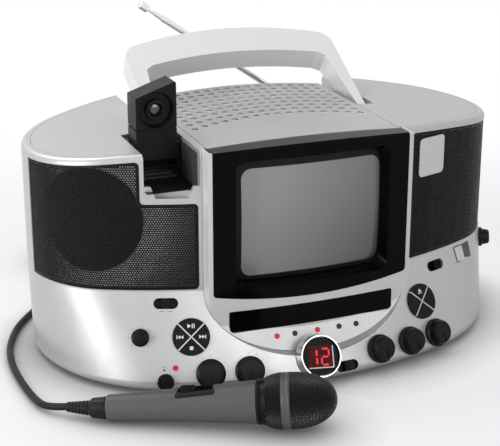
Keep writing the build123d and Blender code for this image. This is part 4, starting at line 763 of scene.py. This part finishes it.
def relief_boot():
    """Strain relief: rings along a curve from the tail to the cable, drawn in by steps and
    grooved, then tapered down to the cable."""
    stations = np.linspace(0, 1, 35)
    radius = np.interp(stations, [0, 0.03, 0.36, 0.4, 0.96, 1.0], [8.6, 9.2, 8.0, 6.3, 4.1, 3.4])
    groove = (stations > 0.42) & (stations < 0.93)
    radius = radius - 0.55 * groove * (np.arange(len(stations)) % 3 == 0)
    start, middle = MIC_TAIL + 0.6 * MIC_AXIS, MIC_TAIL - 17.5 * MIC_AXIS + (0.0, 0.0, 0.2)
    gone = stations[:, None]
    curve = (1 - gone) ** 2 * start + 2 * gone * (1 - gone) * middle + gone**2 * RELIEF_END
    heading = np.gradient(curve, axis=0)
    heading = heading / np.linalg.norm(heading, axis=1)[:, None]
    side = np.cross(heading, (0.0, 0.0, 1.0))
    side = side / np.linalg.norm(side, axis=1)[:, None]
    up = np.cross(side, heading)
    angle = whole_turn(BOOT_STEPS)[None, :, None]
    ring = np.cos(angle) * side[:, None, :] + np.sin(angle) * up[:, None, :]
    # a point closes either end
    rows, reach = [0, *range(len(curve)), -1], np.array([0.0, *radius, 0.0])
    points = curve[rows, None] + reach[:, None, None] * ring[rows]
    return settle("microphone_boot", points, quads_of(len(points), BOOT_STEPS, wrap=True),
                  finishes["cable_rubber"])


boot = relief_boot()
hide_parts("microphone_relief")


def switch_frame():
    """Black plate round the microphone's switch: a band bent round the body's top, whose inner
    edge turns down as the lining of the switch's flat-bottomed pocket."""
    def about_axis(along, side, up):
        return MIC_TAIL + along * MIC_AXIS + side * mic_plane[1] + up * mic_plane[2]

    def on_body(flat, lift):
        radius = np.interp(flat[:, :1], BODY_HEIGHTS, BODY_RADII) + lift
        angle = flat[:, 1:] / radius
        return about_axis(flat[:, :1], radius * np.sin(angle), radius * np.cos(angle))

    def on_floor(flat):
        return about_axis(flat[:, :1], flat[:, 1:], POCKET_FLOOR)

    middle = np.array(((POCKET_START + POCKET_END) / 2, 0.0))
    length = POCKET_END - POCKET_START
    outer = middle + rounded_box(length + 4.0, 19.0, 2.5)
    inner = middle + rounded_box(length - 0.3, POCKET_WIDTH - 0.3, 2.9)
    rings = [on_body(outer, -0.15), on_body(outer, 0.2), on_body((outer + inner) / 2, 0.3),
             on_body(inner, 0.25), on_floor(inner)]
    rings += [on_floor(middle + share * (inner - middle)) for share in (0.6, 0.3, 0.0)]
    settle("microphone_switch_plate", np.array(rings),
           quads_of(len(rings), len(outer), wrap=True), finishes["matt_black"],
           closed=False)


switch_frame()

# ---------------------------------------------------------------- microphone cable
CABLE_RADIUS = 3.0
COIL_CENTRE = np.array((-115.0, 212.0))
COIL_SLOTS = [(42, 3), (36, 3), (30, 3), (24, 3), (24, 9), (24, 15), (30, 15), (30, 9),
              (36, 9), (36, 15), (42, 15), (42, 9)]
COIL_START, COIL_END = 176.0, 268.0
TURN_POINTS = 18
run_to_coil = [
    tuple(RELIEF_END), (-227.0, -121.5, 7.0), (-233.5, -111.0, 5.0), (-236.0, -97.0, 3.6),
    (-238.5, -76.0, 3.1), (-240.0, -50.0, 3.05), (-240.0, -22.0, 3.1), (-236.0, 8.5, 3.05),
    (-228.0, 33.0, 3.1), (-218.0, 56.0, 3.05), (-204.0, 77.0, 3.1), (-189.0, 96.0, 3.05),
    (-174.0, 117.0, 3.1), (-163.5, 140.0, 3.1), (-158.6, 164.0, 3.05), (-157.6, 188.0, 3.05)]
run_to_plug = [
    (-129.0, 169.3, 9.0), (-137.5, 165.0, 10.2), (-141.5, 157.0, 14.0),
    (-139.5, 148.5, 19.5), (-134.4, 141.8, 24.6), (-129.64, 129.27, 25.16)]


def coil_points():
    """Turns of the put-away length, clockwise: each stays in its own place in the bundle for
    most of a turn and then shifts to the next, one after another."""
    whole = (len(COIL_SLOTS) - 1) * (1 - 1.0 / TURN_POINTS)
    total = np.floor(whole) + ((COIL_START - COIL_END) % 360) / 360 + 1
    phase = np.arange(0, total, 1.0 / TURN_POINTS)
    slots = np.array(COIL_SLOTS, float)
    place = np.clip(phase / (total / len(slots)) - 0.5, 0, len(slots) - 1)
    whole_part = np.floor(place)
    rest = place - whole_part
    eased = np.clip((rest - 0.5) * (len(slots) * 1.6) / 2 + 0.5, 0, 1)
    position = np.clip(whole_part + eased, 0, len(slots) - 1)
    radius, height = (np.interp(position, np.arange(len(slots)), row) for row in slots.T)
    swell = 1 / math.cos(math.pi / TURN_POINTS) ** 1.2
    angle = np.radians(COIL_START) - 2 * np.pi * phase
    return np.column_stack([COIL_CENTRE + (radius * swell)[:, None] * ways(angle), height + 0.05])


route = np.concatenate([run_to_coil, coil_points(), run_to_plug])
cable_curve = bpy.data.curves.new("microphone_cable", "CURVE")
cable_curve.dimensions = "3D"
spline = cable_curve.splines.new("NURBS")
spline.points.add(len(route) - 1)
spline.points.foreach_set("co", np.column_stack([route * MM, np.ones(len(route))]).ravel())
spline.order_u = 3
spline.use_endpoint_u = True
cable_curve.resolution_u = 6
cable_curve.bevel_depth = CABLE_RADIUS * MM
cable_curve.bevel_resolution = 3
cable_curve.use_fill_caps = True
cable_curve.materials.append(finishes["cable_rubber"])
cable = placed("microphone_cable", cable_curve)
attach(cable, "machine")
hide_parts("mic_cord_a", "mic_coil", "mic_cord_b")


def cable_tie():
    """Strap round the coiled bundle: a rounded loop carried a short way along the turns."""
    loop = rounded_box(26.4, 18.6, 4.5, centre=(33.0, 9.5), steps=8)
    loop[:, 1] = np.maximum(loop[:, 1], 0.25)
    angle = np.radians(np.linspace(28.0, 38.0, 5))
    around = COIL_CENTRE + ways(angle)[:, None, :] * loop[:, :1]
    height = np.broadcast_to(loop[:, 1:], (len(angle), len(loop), 1))
    piece = settle("cable_tie", np.concatenate([around, height], -1),
                   quads_of(len(angle), len(loop), wrap=True), finishes["matt_black"],
                   closed=False)
    thicken(piece, 0.9, 0.0)
    return piece


tie = cable_tie()

# ---------------------------------------------------------------- display
DISPLAY = (-5.0, 23.5)
DISPLAY_TURN = 0.087
WINDOW_TOP = 4.7
FIGURE_HEIGHT = 13.4
FIGURE_STROKE = 1.7
display_plane = belly_plane(*DISPLAY)
on_display = on_plane(frame_at(display_plane[0], display_plane[3],
                               display_plane[1] - DISPLAY_TURN * display_plane[2]))
prisms("display_panel", [rounded_box(22.0, 18.5, 0.6, (0.3, 0.0))], on_display,
       WINDOW_TOP - 0.1, WINDOW_TOP + 0.12, window_red)
prisms("display_edge", [bar((-10.4, -9.5), (11.9, -9.5), 0.9), bar((11.6, -9.9), (11.6, 8.6), 0.9)],
       on_display, WINDOW_TOP - 0.1, WINDOW_TOP + 0.2, print_white)

SEGMENTS = {
    "top": ((0.12, 1.0), (0.88, 1.0)), "middle": ((0.12, 0.5), (0.88, 0.5)),
    "foot": ((0.12, 0.0), (0.88, 0.0)), "upper_right": ((1.0, 0.56), (1.0, 0.94)),
    "lower_left": ((0.0, 0.06), (0.0, 0.44)), "lower_right": ((1.0, 0.06), (1.0, 0.44))}
LIT = {"1": "upper_right lower_right", "2": "top upper_right middle lower_left foot"}


def numeral(figure, middle, width):
    """Bars of one figure of the seven-bar kind, its middle so far right of the display's."""
    size = np.array((width, FIGURE_HEIGHT))
    corner = np.array((middle, -0.4)) - size / 2
    return [bar(corner + size * SEGMENTS[part][0], corner + size * SEGMENTS[part][1],
                FIGURE_STROKE) for part in LIT[figure].split()]


prisms("display_digits", numeral("1", -6.0, 6.0) + numeral("2", 4.6, 6.6), on_display,
       WINDOW_TOP, WINDOW_TOP + 0.22, digit_red)

# ---------------------------------------------------------------- marks on the keys
KEY_TOP = 1.8
PAD_REACH = 9.6
left_pad = on_plane(belly_plane(-107.5, 46.5))
right_pad = on_plane(belly_plane(105.5, 46.5))


def arrow(tip, size, way):
    """Triangle that points right or left from its flat back."""
    return np.array([(tip, 0.0), (tip - way * size, size * 0.62), (tip - way * size, -size * 0.62)])


def upright(x, half, width):
    """Upright bar at x, half millimetres to either side of the middle line."""
    return bar((x, -half), (x, half), width)


def key_mark(key, place, shapes, shift):
    """Pale mark on one key's face."""
    prisms(f"{key}_mark", [shape + np.array(shift) for shape in shapes], place, KEY_TOP - 0.1,
           KEY_TOP + 0.07, print_white, key)


key_mark("left_key_top", left_pad,
         [arrow(-0.1, 3.0, 1), upright(0.9, 1.9, 0.9), upright(2.5, 1.9, 0.9)],
         (0.0, PAD_REACH - 0.6))
key_mark("left_key_bottom", left_pad, [rounded_box(3.0, 3.0, 0.4)], (0.0, -PAD_REACH + 0.3))
for key, way in (("left_key_left", -1), ("left_key_right", 1)):
    key_mark(key, left_pad,
             [arrow(way * 2.3, 2.5, way), arrow(way * -0.2, 2.5, way),
              upright(way * 2.7, 1.6, 0.7)], (way * (PAD_REACH - 0.4), 0.0))
for pad, place in (("left", left_pad), ("right", right_pad)):
    prisms(f"{pad}_pad_cross",
           [bar((-10.7, -10.7), (10.7, 10.7), 1.0), bar((-10.7, 10.7), (-0.6, 0.6), 1.0),
            bar((0.6, -0.6), (10.7, -10.7), 1.0)],
           place, -0.7, KEY_TOP + 0.05, plate_silver)
key_mark("right_key_top", right_pad,
         [np.array([(-2.2, -0.3), (2.2, -0.3), (0.0, 2.4)]), bar((-2.2, -1.5), (2.2, -1.5), 0.8)],
         (0.0, PAD_REACH - 0.8))

# ---------------------------------------------------------------- printed scales and plates
KNOB_PLACES = {
    "volume": (-96.5, 18.5), "balance": (-64.8, 19.0), "echo": (53.7, 20.0),
    "mic_1": (86.0, 19.5), "mic_2": (116.0, 18.8)}
SCALE_FOOT = -10.5


def knob_scale(reach, ticks):
    """Short marks on an arc round a knob, from its lowest left to its lowest right."""
    angles = np.radians(np.linspace(225.0, -45.0, ticks))
    return [bar(end * reach, end * (reach + (1.7 if number % 5 == 0 else 0.9)), 0.35)
            for number, end in enumerate(ways(angles))]


def belly_print(name, x, z, shapes):
    """Dark print on the belly about (x, z)."""
    prisms(name, shapes, on_belly(belly_plane(x, z)), -0.15, 0.06, print_dark)


for name, (x, z) in KNOB_PLACES.items():
    belly_print(f"{name}_scale", x, z,
                [mark for mark in knob_scale(13.9, 11) if mark[:, 1].min() > SCALE_FOOT])
belly_print("contrast_scale", -146.8, 46.0, knob_scale(9.2, 7))
belly_print("power_signs", -132.5, 12.5,
            [bar((-2.6, 12.6), (-0.4, 12.6), 0.6), rounded_box(1.9, 1.6, 0.2, (-1.5, 9.9))])
belly_print("monitor_signs", -123.5, 72.0,
            [bar((-5.4, -6.6), (-1.4, -6.6), 0.4), bar((1.4, -6.6), (5.4, -6.6), 0.4)])
on_label = on_belly(belly_plane(166.0, 72.0))
plate("side_label_frame", on_label, (0.0, 0.0), (24.0, 15.0), 1.2, -0.5, 0.3, label_grey)
plate("side_label_face", on_label, (-5.2, 0.0), (11.0, 13.0), 0.6, 0.1, 0.55, plate_silver)

# ---------------------------------------------------------------- camera bay
bay_floor = frame_at((-115.2, -77.0, 167.5), (0.0, 0.0, 1.0), (1.0, 0.0, 0.0))
bay_right = frame_at((-93.5, -60.0, 183.0), (-1.0, 0.0, 0.0), (0.0, -1.0, 0.0))
bay_back = frame_at((-115.7, -57.0, 175.0), (0.0, -1.0, 0.0), (1.0, 0.0, 0.0))
RIB_LEVELS = (-5.0, -1.2, 2.6, 9.6)
prisms("bay_floor_liner", [rounded_box(42.4, 38.0, 1.0)], on_plane(bay_floor), 0.05, 0.5,
       finishes["matt_black"])
# the liner on the bay's right wall is painted shade over its silver
prisms("bay_wall_shade_liner", [rounded_box(72.0, 30.0, 1.0)], on_plane(bay_right), 0.05, 0.5,
       bay_shade_grey)
prisms("bracket_ribs", [bar((-16.5, level), (16.5, level), 1.3) for level in RIB_LEVELS],
       on_plane(bay_back), -0.05, 0.8, finishes["matt_black"])

# ---------------------------------------------------------------- vents in the top
VENT_HUB_Y = -213.0
VENT_FIRST_Y = -27.0
VENT_ROWS, VENT_COLUMNS = 9, 16
VENT_ROW_STEP, VENT_COLUMN_STEP = 12.6, 10.3
PAN_Z = 198.2
PAN_HALF = 83.5
PAN_FRONT, PAN_REAR = 178.0, 293.0


def vent_pan():
    """Pan close under the vents: rows of points between two arcs about the vents' own centre,
    one in front of the first row and one inside the cover's rear wall.  Its pale silver is
    painted light at the bottom of the vents."""
    x = np.linspace(-PAN_HALF, PAN_HALF, 33)
    front, rear = (VENT_HUB_Y + np.sqrt(reach**2 - x**2) for reach in (PAN_FRONT, PAN_REAR))
    y = front + np.linspace(0, 1, 17)[:, None] * (rear - front)
    points = np.stack([np.broadcast_to(x, y.shape), y, np.full_like(y, PAN_Z)], -1)
    piece = settle("vent_pan", points, quads_of(17, 33), vent_highlight_silver, closed=False)
    face_away(piece, lambda centre: (0.0, 0.0, 1.0))
    thicken(piece, 0.5, -1.0)


def vent_middles():
    """Middles of the vents: rows on arcs about one centre in front, columns evenly apart."""
    row, column = np.meshgrid(np.arange(VENT_ROWS), np.arange(VENT_COLUMNS), indexing="ij")
    x = (column.ravel() - (VENT_COLUMNS - 1) / 2) * VENT_COLUMN_STEP
    reach = VENT_FIRST_Y + row.ravel() * VENT_ROW_STEP - VENT_HUB_Y
    return np.stack([x, VENT_HUB_Y + np.sqrt(reach**2 - x**2)], -1)


def on_crown(flat, lift):
    """Places (x, y) on the crowned top, raised by lift."""
    return np.column_stack([flat, crown_z(flat[:, 0], 0.0) + lift])


def vent_lip_highlights():
    """Raised lip at the front end of each vent, pale as a painted highlight on the vent's front
    edge: a crescent between two arcs about the centre of the vent's round end, tapered to its tips."""
    angle = np.radians(np.linspace(195.0, 345.0, 9))
    swell = 0.9 * np.sin(np.linspace(0, np.pi, 9)) ** 0.6 + 0.1
    ring = ways(angle)
    crescent = np.concatenate([ring * (2.72 + 0.75 * swell)[:, None], ring[::-1] * 2.7])
    outlines = [crescent + middle + (0.0, -1.5) for middle in vent_middles()]
    prisms("vent_lip_highlights", outlines, on_crown, -0.3, 0.22, vent_highlight_silver)


def vent_louvres():
    """Louvre in each vent: the vent's own outline, a hair smaller, a little below the top."""
    slot = rounded_box(5.2, 8.2, 2.6, steps=5)
    outlines = [slot + middle for middle in vent_middles()]
    prisms("vent_louvres", outlines, on_crown, -3.2, -1.3, finishes["silver_cover"])


vent_pan()
vent_lip_highlights()
vent_louvres()

# ---------------------------------------------------------------- mask round the picture
TUBE_FACE_Y = -109.5
TUBE_MIDDLE_Z = 138.5
TUBE_HALF_WIDTH = 65.5
TUBE_BALL = 536.3
MASK_GAP = 0.5


def along_sides(outline, count):
    """A closed outline with each side divided into count equal steps."""
    share = np.linspace(0, 1, count, endpoint=False)[None, :, None]
    side = np.roll(outline, -1, axis=0) - outline
    return (outline[:, None, :] + share * side[:, None, :]).reshape(-1, 2)


def tube_mask():
    """Dark mask round the picture: rings from the tube's edge in to the picture's edge, each
    half a millimetre in front of the tube's own ball-shaped face."""
    outer = along_sides(rounded_box(132.0, 103.0, 9.5, (0.0, TUBE_MIDDLE_Z)), 10)
    inner = along_sides(rounded_box(125.0, 93.5, 9.0, (1.6, TUBE_MIDDLE_Z - 1.1)), 10)
    share = np.linspace(0, 1, 6)[:, None, None]
    x, z = np.moveaxis((1 - share) * outer + share * inner, -1, 0)
    bulge = (TUBE_HALF_WIDTH**2 - x**2 - (z - TUBE_MIDDLE_Z) ** 2) / (2 * TUBE_BALL)
    points = np.stack([x, TUBE_FACE_Y - np.maximum(bulge, -2.5) - MASK_GAP, z], -1)
    points = np.concatenate([points, points[-1:] + (0.0, 0.6, 0.0)])
    piece = settle("tube_mask", points, quads_of(7, len(outer), wrap=True),
                   finishes["matt_black"], closed=False)
    face_away(piece, lambda centre: (0.0, -1.0, 0.0))


tube_mask()

# ---------------------------------------------------------------- camera lens
lens_plane = frame_at((-115.7, -53.6, 226.5), (0.0, -1.0, 0.0), (1.0, 0.0, 0.0))
LENS_RADIUS = 5.45
lens_dome = ways(np.linspace(0, np.pi / 2, 9)) * (LENS_RADIUS, 2.0) + (0.0, 1.2)
turned("camera_lens", np.concatenate([[(0.0, 0.9), (LENS_RADIUS, 0.9)], lens_dome]),
       lens_plane, lens_glass, "camera_head", steps=40)
turned("lens_rim", [(5.7, 4.2), (7.9, 4.2), (8.0, 4.5), (7.9, 4.8), (7.2, 4.95), (6.0, 4.95),
                    (5.7, 4.7), (5.7, 4.2)],
       lens_plane, finishes["matt_black"], "camera_head", steps=48)

# ---------------------------------------------------------------- floor and light
FLOOR_HALF = 4.0
FLOOR_SINK = 0.0002
FLOOR_TONE = (0.97, 0.965, 0.96, 1.0)
# grey of the painted contact shade where the floor is close to the object
CONTACT_SHADE_TONE = (0.08, 0.08, 0.08, 1.0)
UNSEEN_TONE = (0.5, 0.5, 0.5, 1.0)
WHITE = (1.0, 1.0, 1.0, 1.0)
GLOW_SHARE = 0.72
FADE_START, FADE_END = 0.33, 0.75
SKY_LIGHT = 0.27


def seen_rays(tree):
    """1 for rays from the camera and from gloss or glass, which see the bright background."""
    path = put(tree, "ShaderNodeLightPath")
    return largest_of(tree, [path.outputs[name] for name in
                             ("Is Camera Ray", "Is Glossy Ray", "Is Transmission Ray")])


def pale_floor():
    """White paper floor that shows the object's shadow near it, with painted contact shade where
    the object is close, and fades to plain white.
    """
    finish = bpy.data.materials.new("pale_floor")
    finish.use_nodes = True
    tree = finish.node_tree
    tree.nodes.remove(tree.nodes["Principled BSDF"])
    # painted contact shade: ambient occlusion darkens the floor's tone, its glow included, near the
    # object
    corner = put(tree, "ShaderNodeAmbientOcclusion", Distance=0.05)
    corner.samples = 8
    tone = blend(tree, maths(tree, "POWER", corner.outputs["AO"], 1.6), CONTACT_SHADE_TONE, FLOOR_TONE)
    lit, unseen = (put(tree, "ShaderNodeBsdfDiffuse", Color=colour).outputs["BSDF"]
                   for colour in (tone, UNSEEN_TONE))
    glow, far = (put(tree, "ShaderNodeEmission", Color=colour, Strength=1.0).outputs["Emission"]
                 for colour in (tone, WHITE))
    reach = maths(tree, "LENGTH", own_place(tree), kind="ShaderNodeVectorMath")
    fade = mapped(tree, reach, FADE_START, FADE_END, 0.0, 1.0)
    fade.node.interpolation_type = "SMOOTHSTEP"
    shown = between(tree, fade, between(tree, GLOW_SHARE, lit, glow), far)
    seen = between(tree, seen_rays(tree), unseen, shown)
    tree.links.new(seen, tree.nodes["Material Output"].inputs["Surface"])
    return finish


floor_mesh = bpy.data.meshes.new("floor")
side_steps = np.linspace(-FLOOR_HALF, FLOOR_HALF, 9)
floor_x, floor_y = np.meshgrid(side_steps, side_steps, indexing="ij")
floor_points = np.stack([floor_x, floor_y, np.full_like(floor_x, -FLOOR_SINK)], -1)
floor_mesh.from_pydata(floor_points.reshape(-1, 3).tolist(), [], quads_of(9, 9).tolist())
floor_mesh.materials.append(pale_floor())
floor = placed("floor", floor_mesh)

world = bpy.data.worlds.new("studio")
bpy.context.scene.world = world
world.use_nodes = True
sky = world.node_tree
feed_named(sky, sky.nodes["Background"], {
    "Color": WHITE, "Strength": mapped(sky, seen_rays(sky), 0.0, 1.0, SKY_LIGHT, 1.0)})


def soft_box(name, place, aim, width, height, power):
    """Soft studio light at place, turned towards aim."""
    lamp = bpy.data.lights.new(name, "AREA")
    lamp.shape = "RECTANGLE"
    lamp.size, lamp.size_y, lamp.energy = width, height, power
    holder = placed(name, lamp)
    holder.location = place
    holder.rotation_euler = (Vector(aim) - Vector(place)).to_track_quat("-Z", "Y").to_euler()


soft_box("key_light", (-1.5, -0.45, 0.35), (0.0, 0.0, 0.12), 0.6, 0.9, 15.0)
soft_box("fill_light", (0.2, -1.6, 0.75), (0.0, 0.0, 0.1), 1.1, 0.9, 10.0)
soft_box("top_light", (-0.55, 0.6, 1.2), (0.0, 0.0, 0.1), 0.6, 0.6, 8.0)

# ---------------------------------------------------------------- camera
AZIMUTH, ELEVATION = math.radians(-21.19), math.radians(19.45)
TARGET = Vector((-0.01069, 0.0, 0.09603))
DISTANCE = 1.24779
FOCAL_LENGTH, SENSOR_WIDTH = 98.38, 36.0
back = Vector((math.sin(AZIMUTH) * math.cos(ELEVATION), -math.cos(AZIMUTH) * math.cos(ELEVATION),
               math.sin(ELEVATION)))
view_lens = bpy.data.cameras.new("view")
view_lens.lens, view_lens.sensor_width = FOCAL_LENGTH, SENSOR_WIDTH
eye = placed("view", view_lens)
eye.location = TARGET + back * DISTANCE
eye.rotation_euler = (-back).to_track_quat("-Z", "Y").to_euler()
bpy.context.scene.camera = eye
bpy.context.scene.view_settings.view_transform = "Standard"
